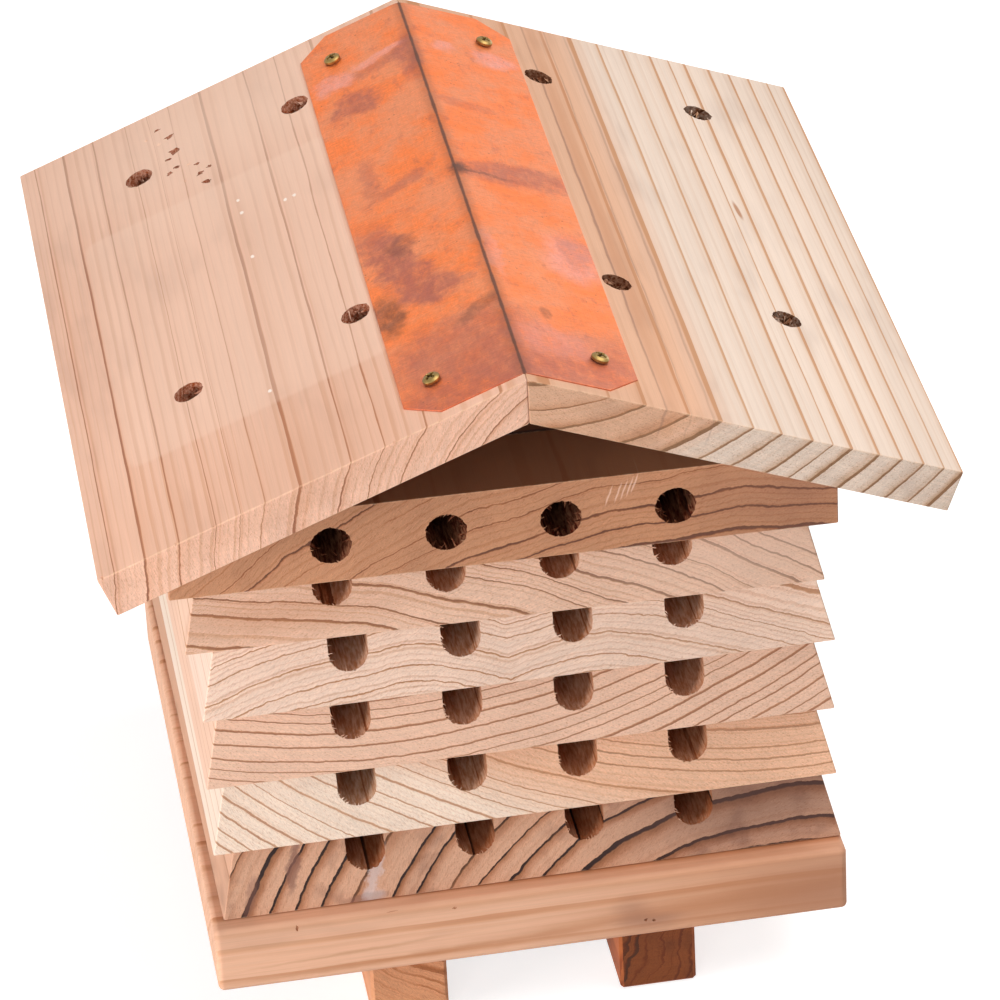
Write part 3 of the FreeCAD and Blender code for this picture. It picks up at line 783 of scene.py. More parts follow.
def plated(name, tint, roughness):
    """Plated screw metal with scuffs and a dull film in places."""
    made, w, _, scuffs = metal_start(name)
    shade = w.shade(tuple(tint), w.times(scuffs["Dull"], 0.7))
    rough = w.times_plus(scuffs["Dull"], 0.4, roughness)
    w.finish(shade, rough, scuffs["Scratch"], 0.03 * MM, Metallic=1.0)
    return made


# Meshes


class Fibres(NamedTuple):
    """Splinters at the rim of a hole: how many, and the range of length and width in millimetres."""
    count: int
    reach: tuple
    wide: tuple
    finish: int


TRAY_FIBRES = Fibres(14, (0.4, 1.5), (0.2, 0.5), WORN)
NEST_FIBRES = Fibres(18, (0.8, 2.6), (0.6, 1.6), TORN)
NEST_RIM_FIBRES = Fibres(4, (0.4, 1.2), (0.3, 0.6), WORN)
SCREW_HOLE_FIBRES = Fibres(18, (1.0, 3.4), (1.0, 2.6), TORN)
SCREW_HOLE_PALE_FIBRES = Fibres(4, (0.8, 2.6), (0.8, 2.0), WORN)


def piece(name, form, *materials):
    """Object from a bmesh, with its finishes."""
    mesh = bpy.data.meshes.new(name)
    form.to_mesh(mesh)
    form.free()
    made = bpy.data.objects.new(name, mesh)
    bpy.context.scene.collection.objects.link(made)
    for material in materials:
        mesh.materials.append(material)
    return made


def settle(obj):
    """Make the result of an object's modifiers its own mesh."""
    graph = bpy.context.evaluated_depsgraph_get()
    mesh = bpy.data.meshes.new_from_object(obj.evaluated_get(graph))
    obj.modifiers.clear()
    old = obj.data
    obj.data = mesh
    bpy.data.meshes.remove(old)
    mesh.name = obj.name


def soften(obj, degrees=35):
    """Smooth shading, with sharp edges kept and broad sides left flat."""
    obj.data.shade_smooth()
    obj.data.set_sharp_from_angle(angle=math.radians(degrees))
    broad = obj.modifiers.new("broad sides", "WEIGHTED_NORMAL")
    broad.keep_sharp = True
    settle(obj)


def hulled(node):
    """The outer form of a CAD node, without its holes."""
    form = bmesh.new()
    for vertex in frame["nodes"][node].data.vertices:
        form.verts.new(vertex.co)
    bmesh.ops.remove_doubles(form, verts=form.verts, dist=0.01 * MM)
    bmesh.ops.convex_hull(form, input=form.verts)
    bmesh.ops.delete(form, geom=[v for v in form.verts if not v.link_faces], context="VERTS")
    bmesh.ops.dissolve_limit(form, angle_limit=math.radians(1), verts=form.verts, edges=form.edges)
    return form


def ease(form, width, corner):
    """Round off a board's upright corners, and then its other edges, which are worn and lightened as a
    painted highlight too.
    """
    def rounded(edges, offset, segments, finish):
        bmesh.ops.bevel(form, geom=edges, offset=offset, segments=segments, profile=0.5, affect="EDGES",
                        clamp_overlap=True, material=finish)

    sharp = [e for e in form.edges if e.calc_face_angle(0) > math.radians(15)]
    upright_edges = [e for e in sharp if abs((e.verts[0].co - e.verts[1].co).normalized().z) > 0.8]
    rounded(upright_edges, corner, 3, PLANED)
    rounded([e for e in form.edges if e.calc_face_angle(0) > math.radians(35)], width, 2, WORN)


def tube(form, sections):
    """Closed tube through sections with as many points each."""
    rows = [[form.verts.new(point) for point in section] for section in sections]
    for near, far in zip(rows, rows[1:]):
        for i in range(len(near)):
            j = (i + 1) % len(near)
            form.faces.new((near[i], near[j], far[j], far[i]))
    form.faces.new(rows[0][::-1])
    form.faces.new(rows[-1])


def roughened(section, amount, tear, seed):
    """A cutter's section with its points pushed in and out by the grain that it tore."""
    centre = sum(section, Vector()) / len(section)
    moved = []
    for point in section:
        outward = (point - centre).normalized()
        wander = noise.noise(point / (0.8 * MM) + Vector((seed, 0, 0))) * amount
        torn = max(0.0, noise.noise(point / (0.55 * MM) + Vector((0, seed, 3))) - 0.05) * tear
        moved.append(point + outward * (wander + torn))
    return moved


def bristle(obj, splinters):
    """Add thin torn splinters to a board. Each has a root, a direction, a length, a width and a finish."""
    form = bmesh.new()
    form.from_mesh(obj.data)
    for root, way, reach, wide, finish in splinters:
        side = way.orthogonal().normalized()
        over = way.cross(side).normalized()
        back = root - way * reach * 0.3
        base = [form.verts.new(back + side * wide / 2 * math.cos(a) + over * wide / 4 * math.sin(a))
                for a in (0, 2 * math.pi / 3, 4 * math.pi / 3)]
        tip = form.verts.new(root + way * reach)
        sides = [form.faces.new((base[i], base[(i + 1) % 3], tip)) for i in range(3)]
        for face in (*sides, form.faces.new(base[::-1])):
            face.material_index = finish
    form.to_mesh(obj.data)
    form.free()


def rim_splinters(draw, fibres, middle, points):
    """Splinters at random points of a rim, that lean towards a point inside the hole."""
    made = []
    for _ in range(fibres.count):
        root = draw.choice(points)
        way = (middle - root).normalized() + Vector(draw.uniform(-0.7, 0.7) for _ in range(3))
        reach = draw.uniform(*fibres.reach) * MM
        wide = draw.uniform(*fibres.wide) * MM
        made.append((root, way.normalized(), reach, wide, fibres.finish))
    return made


def pit(form, place, size, seed, finish=TORN):
    """Small ragged hollow about the origin of its place."""
    ball = bmesh.ops.create_icosphere(form, subdivisions=2, radius=1)["verts"]
    for vertex in ball:
        swell = 1 + 0.9 * noise.noise(vertex.co * 1.7 + Vector((seed, 0, 0)))
        vertex.co = place @ Vector(vertex.co[i] * size[i] * swell for i in range(3))
        for face in vertex.link_faces:
            face.material_index = finish


def carve(obj, cutters):
    """Take the cutters out of an object. The faces that they leave are torn, where nothing else is said."""
    bmesh.ops.recalc_face_normals(cutters, faces=cutters.faces)
    for face in cutters.faces:
        face.material_index = face.material_index or TORN
    tool = piece(obj.name + "_cutters", cutters, *obj.data.materials)
    cut = obj.modifiers.new("carve", "BOOLEAN")
    cut.operation = "DIFFERENCE"
    cut.solver = "EXACT"
    cut.material_mode = "INDEX"
    cut.object = tool
    settle(obj)
    bpy.data.meshes.remove(tool.data)


def seat(obj, body, slot, *nodes):
    """Put a finished piece in the frame in place of its CAD nodes."""
    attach(obj, body)
    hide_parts(*nodes)


def about_pivot(turn):
    """Matrix of a turn about the bolt."""
    return Matrix.Translation(PIVOT) @ Matrix.Rotation(turn, 4, "Z") @ Matrix.Translation(-PIVOT)


def square_box(node):
    """Turn of a stacked board about the pivot, its corners when turned square, and where its top begins."""
    mesh = frame["nodes"][node].data
    rear = max((f for f in mesh.polygons if f.normal.y > 0.9), key=lambda f: f.area)
    turn = math.atan2(-rear.normal.x, rear.normal.y)
    back = about_pivot(-turn)
    points = [back @ v.co for v in mesh.vertices]
    low = Vector(min(p[i] for p in points) for i in range(3))
    high = Vector(max(p[i] for p in points) for i in range(3))
    brow = min(p.y for p in points if p.z > high.z - 0.1 * MM)
    return turn, low, high, brow


def facing(node):
    """Direction that the broadest upward side of a CAD node looks."""
    areas = {}
    for face in frame["nodes"][node].data.polygons:
        key = tuple(round(x, 3) for x in face.normal)
        if key[2] > 0.1:
            areas[key] = areas.get(key, 0) + face.area
    return Vector(max(areas, key=areas.get)).normalized()


def loose_parts(node):
    """The vertices of each separate solid in a CAD node."""
    form = bmesh.new()
    form.from_mesh(frame["nodes"][node].data)
    bmesh.ops.remove_doubles(form, verts=form.verts, dist=0.001 * MM)
    left = set(form.verts)
    parts = []
    for start in form.verts:
        if start not in left:
            continue
        left.discard(start)
        front = [start]
        found = []
        while front:
            vertex = front.pop()
            found.append(vertex.co.copy())
            near = [e.other_vert(vertex) for e in vertex.link_edges]
            fresh = [v for v in near if v in left]
            left.difference_update(fresh)
            front.extend(fresh)
        parts.append(found)
    form.free()
    return parts


def head_tops(node, direction):
    """Middle of the top of each screw head in a CAD node."""
    tops = []
    for points in loose_parts(node):
        reach = max(p.dot(direction) for p in points)
        crown = [p for p in points if p.dot(direction) > reach - 0.01 * MM]
        tops.append(sum(crown, Vector()) / len(crown))
    return tops


def strip_screws():
    """Top of each screw in the copper strip, and the direction that it looks."""
    found = []
    for side, board_name in ((-1, "roof_board_left"), (1, "roof_board_right")):
        normal = facing(board_name)
        found += [(top, normal) for top in head_tops("ridge_cap_screws", normal) if top.x * side > 0]
    return found


def upright(direction):
    """Turn that stands Z along a direction."""
    return direction.to_track_quat("Z", "Y").to_matrix().to_4x4()


def ring(radius, count):
    """Points of a circle about Z."""
    return [Vector((radius * math.cos(a), radius * math.sin(a), 0))
            for a in (2 * math.pi * i / count for i in range(count))]


# Boards


# How far the cutters reach, how deep they tear at a mouth, and how finely they are made
OVERCUT = 1 * MM
LEAD_IN = 1.5 * MM
MOUTH_STEPS = 18
MOUTH_STEP = 0.5 * MM
RUN_STEP = 5 * MM
NOSE_ROOM = 6 * MM
NOSE_STEPS = 6
CHANNEL_TEAR = 3 * MM
BORE_TEAR = 2.5 * MM
WALL_STEPS = 14
FLOOR_STEPS = 36
BORE_STEP = 0.9 * MM
BORE_POINTS = 64
RIM_POINTS = 40
FOOT_HOLE_DEPTH = 6 * MM
BOLT_HOLE_RADIUS = 3.05 * MM
BOLT_HOLE_POINTS = 32


def settings(context):
    """Sizes and colours of the scene's hotel."""
    return context.scene.bee_hotel_sizes, context.scene.bee_hotel_colours


def channel_columns(sizes):
    """Places of the nest channels across the hotel."""
    middle = (sizes.channel_count - 1) / 2
    return [(i - middle) * sizes.channel_pitch for i in range(sizes.channel_count)]


def channel_cutter(form, sizes, x, top, front, nose, place, seed):
    """Round-nosed groove as its cutter left it, with fibres torn at its mouth."""
    radius = sizes.channel_width / 2
    spring = top - sizes.channel_depth + radius
    rim = top + OVERCUT
    steps = [front - LEAD_IN + i * MOUTH_STEP for i in range(MOUTH_STEPS)]
    while steps[-1] < nose - NOSE_ROOM:
        steps.append(steps[-1] + RUN_STEP)
    steps += [nose + radius * math.sin(math.pi / 2 * i / NOSE_STEPS) for i in range(NOSE_STEPS)]
    sections = []
    for y in steps:
        half = radius if y <= nose else math.sqrt(max(radius ** 2 - (y - nose) ** 2, 0))
        outline = [Vector((x - half, y, rim - (rim - spring) * i / WALL_STEPS)) for i in range(WALL_STEPS)]
        for i in range(FLOOR_STEPS + 1):
            turn = math.pi + math.pi * i / FLOOR_STEPS
            outline.append(Vector((x + half * math.cos(turn), y, spring + half * math.sin(turn))))
        outline += [Vector((x + half, y, spring + (rim - spring) * i / WALL_STEPS))
                    for i in range(1, WALL_STEPS + 1)]
        mouth = max(0.0, 1 - abs(y - front - MOUTH_STEP) / CHANNEL_TEAR)
        worked = roughened(outline, sizes.roughness, sizes.tear * mouth, seed)
        sections.append([place @ p for p in worked])
    tube(form, sections)


def bore_cutter(form, radius, sizes, place, start, end, seed, tear):
    """Drilled hole from start to end along Z of its place, ragged at its mouth."""
    steps = min(max(6, round((end - start) / BORE_STEP)), 40)
    sections = []
    for i in range(steps + 1):
        along = start + (end - start) * (i / steps) ** 1.3
        circle = [p + Vector((0, 0, along)) for p in ring(radius, BORE_POINTS)]
        mouth = max(0.0, 1 - abs(along) / BORE_TEAR)
        worked = roughened(circle, sizes.roughness * 2, tear * (0.3 + mouth), seed)
        sections.append([place @ p for p in worked])
    tube(form, sections)


def bolt_hole(form, low, high):
    """Hole for the pivot bolt through a board."""
    circle = ring(BOLT_HOLE_RADIUS, BOLT_HOLE_POINTS)
    ends = [Vector((PIVOT.x, PIVOT.y, z)) for z in (low.z - OVERCUT, high.z + OVERCUT)]
    tube(form, [[p + end for p in circle] for end in ends])


def wall_points(draw, radius, place, depths):
    """Points on the wall of a hole at random depths."""
    return [place @ (p + Vector((0, 0, draw.uniform(*depths) * MM))) for p in ring(radius, RIM_POINTS)]


def wood_finishes(palette, name, key, origin, **layout):
    """Finish of a board's planed faces, of what a cutter tore inside it, and of its worn edges."""
    early = getattr(palette, key)
    colours = (early, getattr(palette, key + "_line"), getattr(palette, key + "_sap", early), palette.stain,
               getattr(palette, key + "_torn", palette.torn), palette.worn)
    kinds = (("", {}), ("_torn", {"torn": 1.0}), ("_worn", {"worn": 0.4}))
    return [cedar("cedar_" + name + suffix, LOGS[key], palette, colours, origin, **layout, **kind)
            for suffix, kind in kinds]


def front_middle(node):
    """Middle of a board's front end."""
    low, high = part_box(node)
    return Vector((0, low.y, (low.z + high.z) / 2))


def board(name, node, sizes, finishes):
    """Board in the outer form of a CAD node, with eased edges."""
    form = hulled(node)
    ease(form, sizes.arris, sizes.corner)
    return piece(name, form, *finishes)


def work(obj, cutters, splinters, body, slot, node):
    """Cut a board, add its splinters and put it in place of its CAD node."""
    carve(obj, cutters)
    if splinters:
        bristle(obj, splinters)
    soften(obj)
    seat(obj, body, slot, node)


class BEEHOTEL_OT_feet(bpy.types.Operator):
    """Two rough battens that the hotel stands on"""
    bl_idname = "beehotel.feet"
    bl_label = "Feet"

    def execute(self, context):
        sizes, colours = settings(context)
        for side in ("left", "right"):
            node = "foot_" + side
            low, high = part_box(node)
            origin = front_middle(node)
            origin.x = (low.x + high.x) / 2
            finishes = wood_finishes(colours, node, node, origin)
            batten = piece("batten_" + side, hulled(node), *finishes)
            cutters = bmesh.new()
            for seed, top in enumerate(head_tops("foot_screws_" + side, DOWN), 80):
                place = Matrix.Translation((top.x, top.y, low.z))
                bore_cutter(cutters, sizes.counterbore / 2, sizes, place, -OVERCUT, FOOT_HOLE_DEPTH, seed,
                            sizes.tear)
            work(batten, cutters, (), HOTEL, "cedar_foot", node)
        return {"FINISHED"}


# Two pin holes, a nick, a crack and a speck in the front of the base: along it, up, and size
BASE_PITS = (
    (27.6, 23.8, (0.4, 1.2, 0.4)), (29.5, 23.4, (0.4, 1.2, 0.4)), (-57.9, 35.2, (0.35, 0.4, 0.9)),
    (-35, 36.4, (3.2, 0.3, 0.25)), (-19.3, 35, (0.5, 0.3, 0.3)),
)


class BEEHOTEL_OT_base(bpy.types.Operator):
    """Base board with rounded edges and its grain from side to side"""
    bl_idname = "beehotel.base"
    bl_label = "Base board"

    def execute(self, context):
        _, colours = settings(context)
        low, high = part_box("base_board")
        finishes = wood_finishes(colours, "base", "base", front_middle("base_board"), grain=(1, 0, 0),
                                 turn=(0, 0, math.radians(90)))
        base = piece("base_plank", hulled("base_board"), *finishes)
        cutters = bmesh.new()
        bolt_hole(cutters, low, high)
        for seed, (x, z, size) in enumerate(BASE_PITS):
            place = Matrix.Translation(Vector((x * MM, low.y, z * MM)))
            pit(cutters, place, [value * MM for value in size], seed)
        work(base, cutters, (), HOTEL, "cedar_base", "base_board")
        return {"FINISHED"}


class BEEHOTEL_OT_trays(bpy.types.Operator):
    """Five nest trays with round-nosed channels"""
    bl_idname = "beehotel.trays"
    bl_label = "Nest trays"

    def execute(self, context):
        sizes, colours = settings(context)
        for level, node in enumerate(TRAYS, 1):
            key = f"tray_{level}"
            tray = board(key + "_wood", node, sizes, wood_finishes(colours, key, key, front_middle(node)))
            turn, low, high, brow = square_box(node)
            place = about_pivot(turn)
            nose = high.y - sizes.channel_end - sizes.channel_width / 2
            cutters = bmesh.new()
            for column, x in enumerate(channel_columns(sizes)):
                channel_cutter(cutters, sizes, x, high.z, low.y, nose, place, 10 * level + column)
            bolt_hole(cutters, low, high)
            splinters = self.splinters(sizes, low, high, brow, place, level)
            work(tray, cutters, splinters, key, "cedar_tray", node)
        return {"FINISHED"}

    def splinters(self, sizes, low, high, brow, place, level):
        """Fibres that hang from the left and lower rims of the channels."""
        draw = random.Random(level)
        radius = sizes.channel_width / 2
        spring = high.z - sizes.channel_depth + radius
        slope = (brow - low.y) / (high.z - low.z)
        made = []
        for x in channel_columns(sizes):
            rim = [Vector((x - radius, 0, spring + (high.z - spring) * i / 6)) for i in range(6)]
            rim += [Vector((x + radius * math.cos(a), 0, spring + radius * math.sin(a)))
                    for a in (math.pi * (1 + i / 20) for i in range(16))]
            for point in rim:
                point.y = low.y + slope * (point.z - low.z)
            made += rim_splinters(draw, TRAY_FIBRES, Vector((x, low.y - 2 * MM, spring)), rim)
        turned = place.to_3x3()
        return [(place @ root, turned @ way, *form) for root, way, *form in made]


class BEEHOTEL_OT_block(bpy.types.Operator):
    """Top block with four drilled nests"""
    bl_idname = "beehotel.block"
    bl_label = "Top block"

    def execute(self, context):
        sizes, colours = settings(context)
        finishes = wood_finishes(colours, "block", "block", front_middle("top_block"))
        block = board("top_block_wood", "top_block", sizes, finishes)
        turn, low, high, _ = square_box("top_block")
        radius = sizes.channel_width / 2
        depth = high.y - sizes.channel_end - radius - low.y
        cutters = bmesh.new()
        draw = random.Random(11)
        splinters = []
        for seed, x in enumerate(channel_columns(sizes), 60):
            place = about_pivot(turn) @ Matrix.Translation((x, low.y, (low.z + high.z) / 2))
            place = place @ Matrix.Rotation(math.radians(-90), 4, "X")
            bore_cutter(cutters, radius, sizes, place, -2 * MM, depth, seed, sizes.tear * 0.55)
            inside = wall_points(draw, radius, place, (0.4, 4))
            rim = [place @ p for p in ring(radius, RIM_POINTS)]
            middle = place @ Vector((0, 0, 1 * MM))
            splinters += rim_splinters(draw, NEST_FIBRES, middle, inside)
            splinters += rim_splinters(draw, NEST_RIM_FIBRES, middle, rim)
        bolt_hole(cutters, low, high)
        work(block, cutters, splinters, HOTEL, "cedar_block", "top_block")
        return {"FINISHED"}


class BEEHOTEL_OT_gables(bpy.types.Operator):
    """Upright boards that hold the roof"""
    bl_idname = "beehotel.gables"
    bl_label = "Gable boards"

    def execute(self, context):
        sizes, colours = settings(context)
        for node in ("gable_front", "gable_rear"):
            # The gables take the dark gable colours, which are painted shade
            finishes = wood_finishes(colours, node, "gable", front_middle(node), grain=(1, 0, 0),
                                     turn=(0, 0, math.radians(90)))
            gable = board(node + "_wood", node, sizes, finishes)
            soften(gable)
            seat(gable, HOTEL, "cedar_gable", node)
        return {"FINISHED"}


# Torn spots on the left roof board: across the slope from the ridge, back from the front, and how large
ROOF_PITS = (
    (-68.6, 188, 0.7), (-66, 182, 1.1), (-65.4, 173.6, 1.5), (-67.6, 171, 0.9), (-69, 180.5, 0.6),
    (-72, 185.4, 0.5), (-65.9, 165.3, 1.0), (-68, 163.8, 0.8), (-62.7, 164, 0.6), (-60.8, 162.2, 0.7),
    (-60.4, 157, 1.0), (-57.8, 158.4, 0.7), (-59.2, 151.5, 1.2), (-64.7, 156.6, 0.5),
)

# Nicks along the front edge of the left roof board: from what size to what
NICK_COUNT = 7
NICK_SIZES = ((0.5, 1.6), (0.2, 0.4), (0.2, 0.4))


class BEEHOTEL_OT_roof(bpy.types.Operator):
    """Two roof boards with sunk screws"""
    bl_idname = "beehotel.roof"
    bl_label = "Roof boards"

    def execute(self, context):
        sizes, colours = settings(context)
        radius = sizes.counterbore / 2
        depth = sizes.counterbore_depth
        for side, first_seed in (("left", 70), ("right", 75)):
            node = "roof_board_" + side
            key = "roof_" + side
            normal = facing(node)
            low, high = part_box(node)
            origin = Vector((0, low.y, high.z))
            turn = (0, -math.atan2(normal.x, normal.z), 0)
            finishes = wood_finishes(colours, key, key, origin, turn=turn, flat="XY")
            plank = board(key + "_plank", node, sizes, finishes)
            cutters = bmesh.new()
            draw = random.Random(len(key))
            splinters = []
            for seed, top in enumerate(head_tops("roof_screws_" + side, normal), first_seed):
                mouth = top + normal * (depth - sizes.screw_height)
                place = Matrix.Translation(mouth) @ upright(-normal)
                bore_cutter(cutters, radius, sizes, place, -LEAD_IN, depth, seed, sizes.tear * 0.3)
                inside = wall_points(draw, radius, place, (0.8, 3.5))
                middle = mouth - normal * 2 * MM
                splinters += rim_splinters(draw, SCREW_HOLE_PALE_FIBRES, middle, inside)
                splinters += rim_splinters(draw, SCREW_HOLE_FIBRES, middle, inside)
            if side == "left":
                self.pits(cutters, draw, origin, normal)
            work(plank, cutters, splinters, HOTEL, "cedar_" + key, node)
        return {"FINISHED"}

    def pits(self, form, draw, origin, normal):
        """Torn hollows in the rear of the left board, and nicks along its front edge."""
        across = Vector((normal.z, 0, -normal.x))
        tilt = upright(normal)
        for seed, (u, y, size) in enumerate(ROOF_PITS):
            place = Matrix.Translation(origin + across * u * MM + Vector((0, y * MM, 0))) @ tilt
            pit(form, place, (0.8 * size * MM, 1.1 * size * MM, 0.5 * size * MM), seed,
                TORN if size > 0.6 else WORN)
        for index in range(NICK_COUNT):
            u = -100 + 13 * index + draw.uniform(-5, 5)
            size = [draw.uniform(*limits) * MM for limits in NICK_SIZES]
            pit(form, Matrix.Translation(origin + across * u * MM) @ tilt, size, 30 + index, WORN)


# Metal pieces


STRIP_COLUMNS = 14
STRIP_ROWS = 60
DENT_WIDTH = 3.2 * MM
BUCKLE_LENGTH = 26 * MM
HEAD_RINGS = 14
HEAD_SPOKES = 48


def strip_form(sizes, normal, high, dents):
    """Bent strip with clipped corners, before it is given its thickness."""
    reach = high.x / normal.z
    unclipped = reach - sizes.copper_clip
    pitch = math.sqrt(1 - normal.z ** 2)
    steps = [reach * i / STRIP_COLUMNS for i in range(STRIP_COLUMNS + 1)]
    steps += [0.4 * MM, 0.9 * MM, 1.5 * MM, unclipped]
    form = bmesh.new()
    rows = []
    for across in sorted({side * step for step in steps for side in (-1, 1)}):
        outward = Vector((pitch if across > 0 else -pitch, 0, normal.z))
        limit = high.y - max(0.0, abs(across) - unclipped)
        fold = math.sqrt(across ** 2 + sizes.copper_bend ** 2) - sizes.copper_bend
        row = []
        for i in range(STRIP_ROWS + 1):
            y = limit * (2 * i / STRIP_ROWS - 1)
            point = Vector((across * normal.z, y, high.z - sizes.copper_thickness / normal.z))
            point.z -= fold * pitch
            buckle = noise.noise(Vector((across, y, 0)) / BUCKLE_LENGTH) * 0.1 * MM + 0.1 * MM
            pressed = sum(sizes.cap_screw_sunk * math.exp(-((point - dent).length / DENT_WIDTH) ** 2)
                          for dent in dents)
            row.append(form.verts.new(point + outward * (buckle - pressed)))
        rows.append(row)
    for near, far in zip(rows, rows[1:]):
        for i in range(STRIP_ROWS):
            form.faces.new((near[i], far[i], far[i + 1], near[i + 1]))
    return form


class BEEHOTEL_OT_ridge(bpy.types.Operator):
    """Copper strip bent over the ridge"""
    bl_idname = "beehotel.ridge"
    bl_label = "Copper strip"

    def execute(self, context):
        sizes, colours = settings(context)
        normal = facing("roof_board_right")
        _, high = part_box("ridge_cap")
        dents = [top for top, _ in strip_screws()]
        strip = piece("copper_strip", strip_form(sizes, normal, high, dents), copper_finish(colours))
        sheet = strip.modifiers.new("thickness", "SOLIDIFY")
        sheet.thickness = sizes.copper_thickness
        sheet.offset = -1
        edge = strip.modifiers.new("edge", "BEVEL")
        edge.width = 0.12 * MM
        edge.segments = 2
        edge.limit_method = "ANGLE"
        edge.angle_limit = math.radians(50)
        settle(strip)
        soften(strip, 50)
        seat(strip, HOTEL, "copper", "ridge_cap")
        return {"FINISHED"}


def pan_head(form, place, diameter, height, recess):
    """Pan head with a cross recess, standing on Z of its place."""
    radius = diameter / 2
    arm_width = 0.16 * radius
    arm_length = 0.62 * radius
    top = form.verts.new(place @ Vector((0, 0, height - recess)))
    sunk = {top}
    rows = []
    for i in range(1, HEAD_RINGS + 1):
        share = i / HEAD_RINGS
        dome = height * (1 - 0.55 * share ** 4)
        row = []
        for j in range(HEAD_SPOKES):
            turn = 2 * math.pi * j / HEAD_SPOKES
            x = radius * share * math.cos(turn)
            y = radius * share * math.sin(turn)
            aside, along = sorted((abs(x), abs(y)))
            wall = max(0.0, 1 - max(aside / arm_width, along / arm_length) ** 6)
            row.append(form.verts.new(place @ Vector((x, y, dome - recess * min(1, wall * 1.6)))))
            if wall > 0.35:
                sunk.add(row[-1])
        rows.append(row)
    # The recess faces take the second material: grime and painted shade
    for j in range(HEAD_SPOKES):
        form.faces.new((top, rows[0][j], rows[0][(j + 1) % HEAD_SPOKES])).material_index = 1
    rows.append([form.verts.new(place @ p) for p in ring(radius, HEAD_SPOKES)])
    for near, far in zip(rows, rows[1:]):
        for j in range(HEAD_SPOKES):
            k = (j + 1) % HEAD_SPOKES
            face = form.faces.new((near[j], far[j], far[k], near[k]))
            face.material_index = int(sunk.issuperset(face.verts))
    form.faces.new(rows[-1][::-1])


class BEEHOTEL_OT_screws(bpy.types.Operator):
    """Brass-plated screws of the roof, feet and copper strip"""
    bl_idname = "beehotel.screws"
    bl_label = "Screws"

    def execute(self, context):
        sizes, colours = settings(context)
        brass = plated("brass_plate", colours.brass, 0.42)
        # The recess material is grime and painted shade in the cross recess
        recess_grime_and_shade = plated("brass_grime", colours.recess_grime_and_shade, 0.6)
        draw = random.Random(5)
        wood_screws = {
            "roof_screws_left": facing("roof_board_left"), "roof_screws_right": facing("roof_board_right"),
            "foot_screws_left": DOWN, "foot_screws_right": DOWN,
        }
        groups = []
        for node, way in wood_screws.items():
            tops = [(top, way) for top in head_tops(node, way)]
            groups.append((node, tops, sizes.screw_head, sizes.screw_height, 0))
        groups.append(("ridge_cap_screws", strip_screws(), sizes.cap_screw_head, sizes.cap_screw_height,
                       sizes.cap_screw_sunk))
        for node, tops, head, height, sunk in groups:
            form = bmesh.new()
            for top, up in tops:
                spin = Matrix.Rotation(draw.uniform(0, math.pi / 2), 4, "Z")
                place = Matrix.Translation(top - up * (height + sunk)) @ upright(up) @ spin
                pan_head(form, place, head, height, height * 0.6)
            screws = piece(node + "_heads", form, brass, recess_grime_and_shade)
            soften(screws, 40)
            seat(screws, HOTEL, "brass_screw", node)
        return {"FINISHED"}


class BEEHOTEL_OT_pivot(bpy.types.Operator):
    """Zinc-plated bolt, washers and nut that the trays turn on"""
    bl_idname = "beehotel.pivot"
    bl_label = "Pivot"

    def execute(self, context):
        _, colours = settings(context)
        zinc = plated("zinc_plate", colours.zinc, 0.48)
        for node in ("pivot_bolt", "pivot_washer_lower", "pivot_washer_upper", "pivot_nut"):
            for held in frame["nodes"][node].material_slots:
                held.material = zinc
        return {"FINISHED"}


# Stage


# Lamps: name of the setting for their power, place and size
LAMPS = (
    ("key", (-0.86, -0.38, 0.13), 0.45), ("top", (0.42, -0.2, 1.08), 0.9),
    ("fill", (-0.5, -1.15, 0.65), 0.6), ("rear", (1.0, 0.9, 0.05), 0.8),
)


def area_lamp(name, place, aim, size, watts):
    """Soft square lamp that looks at a point."""
    data = bpy.data.lights.new(name, "AREA")
    data.size = size
    data.energy = watts
    lamp = bpy.data.objects.new(name, data)
    bpy.context.scene.collection.objects.link(lamp)
    lamp.location = place
    lamp.rotation_euler = (Vector(aim) - Vector(place)).to_track_quat("-Z", "Y").to_euler()


def seen(w, *kinds):
    """1 for the camera's own rays and the other kinds of ray that are named, and 0 for the rest."""
    path = w.add("LightPath").outputs
    share = path["Is Camera Ray"]
    for kind in kinds:
        share = w.maths("MAXIMUM", share, path[f"Is {kind} Ray"])
    return share


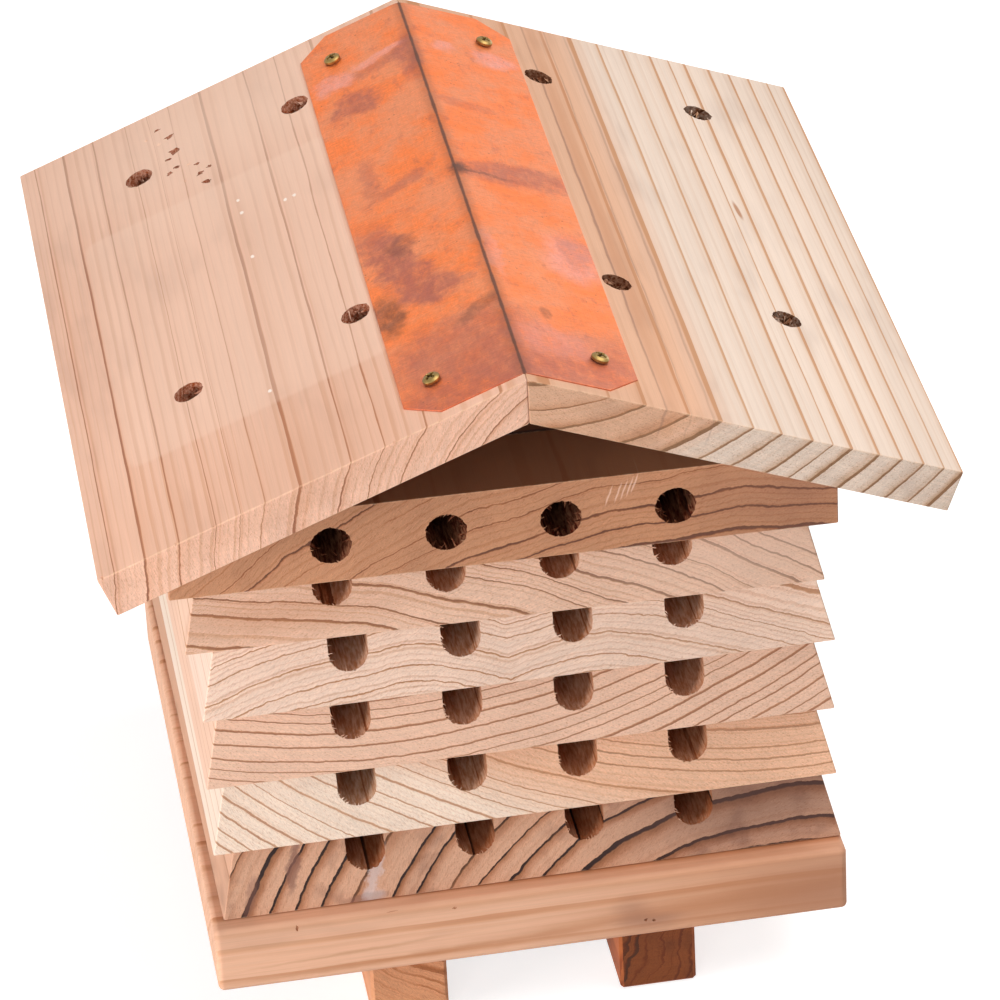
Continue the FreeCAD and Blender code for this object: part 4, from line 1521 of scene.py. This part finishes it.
class BEEHOTEL_OT_stage(bpy.types.Operator):
    """Camera, lamps, white room and floor"""
    bl_idname = "beehotel.stage"
    bl_label = "Stage"

    def execute(self, context):
        studio = context.scene.bee_hotel_studio
        self.camera(context.scene, studio)
        self.room(context.scene, studio)
        self.floor(studio)
        middle = (CAD_BOX[0] + CAD_BOX[1]) / 2
        for name, place, size in LAMPS:
            area_lamp(name + "_lamp", place, middle, size, getattr(studio, name))
        context.scene.view_settings.view_transform = "Standard"
        return {"FINISHED"}

    def camera(self, scene, studio):
        """Camera at the photograph's viewing angle."""
        data = bpy.data.cameras.new("camera")
        data.sensor_width = 36
        data.lens = studio.lens
        data.clip_start = 0.01
        camera = bpy.data.objects.new("camera", data)
        scene.collection.objects.link(camera)
        turn = Matrix.Rotation(studio.azimuth, 4, "Z")
        tilt = Matrix.Rotation(math.pi / 2 - studio.elevation, 4, "X")
        roll = Matrix.Rotation(studio.roll, 4, "Z")
        back = Matrix.Translation((0, 0, studio.distance))
        camera.matrix_world = Matrix.Translation(studio.aim) @ turn @ tilt @ back @ roll
        scene.camera = camera

    def room(self, scene, studio):
        """White room: plain white where it is seen or mirrored, and softer as light."""
        world = bpy.data.worlds.new("white_room")
        w = emptied(world)
        strength = w.plus(w.times(seen(w, "Glossy", "Transmission"), 1 - studio.ambient), studio.ambient)
        w.surface(w.add("Background", Color=(1, 1, 1, 1), Strength=strength), "World")
        scene.world = world

    def floor(self, studio):
        """Pale floor that reads as white and keeps a soft shadow."""
        made, w = new_material("studio_floor")
        glow = w.times(seen(w, "Glossy"), studio.floor_glow)
        w.surface(w.add("BsdfPrincipled", Base_Color=(*studio.floor, 1), Roughness=0.9,
                        Emission_Color=(1, 1, 1, 1), Emission_Strength=glow))
        form = bmesh.new()
        bmesh.ops.create_grid(form, x_segments=4, y_segments=4, size=6)
        floor = piece("studio_floor", form, made)
        floor.location.z = -0.5 * MM


class BEEHOTEL_PT_panel(bpy.types.Panel):
    """Lists the pieces of the bee hotel"""
    bl_idname = "BEEHOTEL_PT_panel"
    bl_label = "Bee Hotel"
    bl_space_type = "VIEW_3D"
    bl_region_type = "UI"
    bl_category = "Bee Hotel"

    def draw(self, context):
        for operator in OPERATORS:
            self.layout.operator(operator.bl_idname)
        for group in (*settings(context), context.scene.bee_hotel_studio):
            box = self.layout.box()
            for name in group.__annotations__:
                box.prop(group, name)


OPERATORS = (
    BEEHOTEL_OT_stage, BEEHOTEL_OT_feet, BEEHOTEL_OT_base, BEEHOTEL_OT_trays, BEEHOTEL_OT_block,
    BEEHOTEL_OT_gables, BEEHOTEL_OT_roof, BEEHOTEL_OT_ridge, BEEHOTEL_OT_screws, BEEHOTEL_OT_pivot,
)
CLASSES = (BeeHotelSizes, BeeHotelColours, BeeHotelStudio, *OPERATORS, BEEHOTEL_PT_panel)


def register():
    """Add the classes and the scene's settings."""
    for cls in CLASSES:
        bpy.utils.register_class(cls)
    bpy.types.Scene.bee_hotel_sizes = PointerProperty(type=BeeHotelSizes)
    bpy.types.Scene.bee_hotel_colours = PointerProperty(type=BeeHotelColours)
    bpy.types.Scene.bee_hotel_studio = PointerProperty(type=BeeHotelStudio)


def unregister():
    """Take the classes and the scene's settings away."""
    del bpy.types.Scene.bee_hotel_studio
    del bpy.types.Scene.bee_hotel_colours
    del bpy.types.Scene.bee_hotel_sizes
    for cls in reversed(CLASSES):
        bpy.utils.unregister_class(cls)


def main():
    """Build the bee hotel."""
    register()
    bpy.ops.beehotel.stage()
    bpy.ops.beehotel.feet()
    bpy.ops.beehotel.base()
    bpy.ops.beehotel.trays()
    bpy.ops.beehotel.block()
    bpy.ops.beehotel.gables()
    bpy.ops.beehotel.roof()
    bpy.ops.beehotel.ridge()
    bpy.ops.beehotel.screws()
    bpy.ops.beehotel.pivot()


if __name__ == "__main__":
    main()
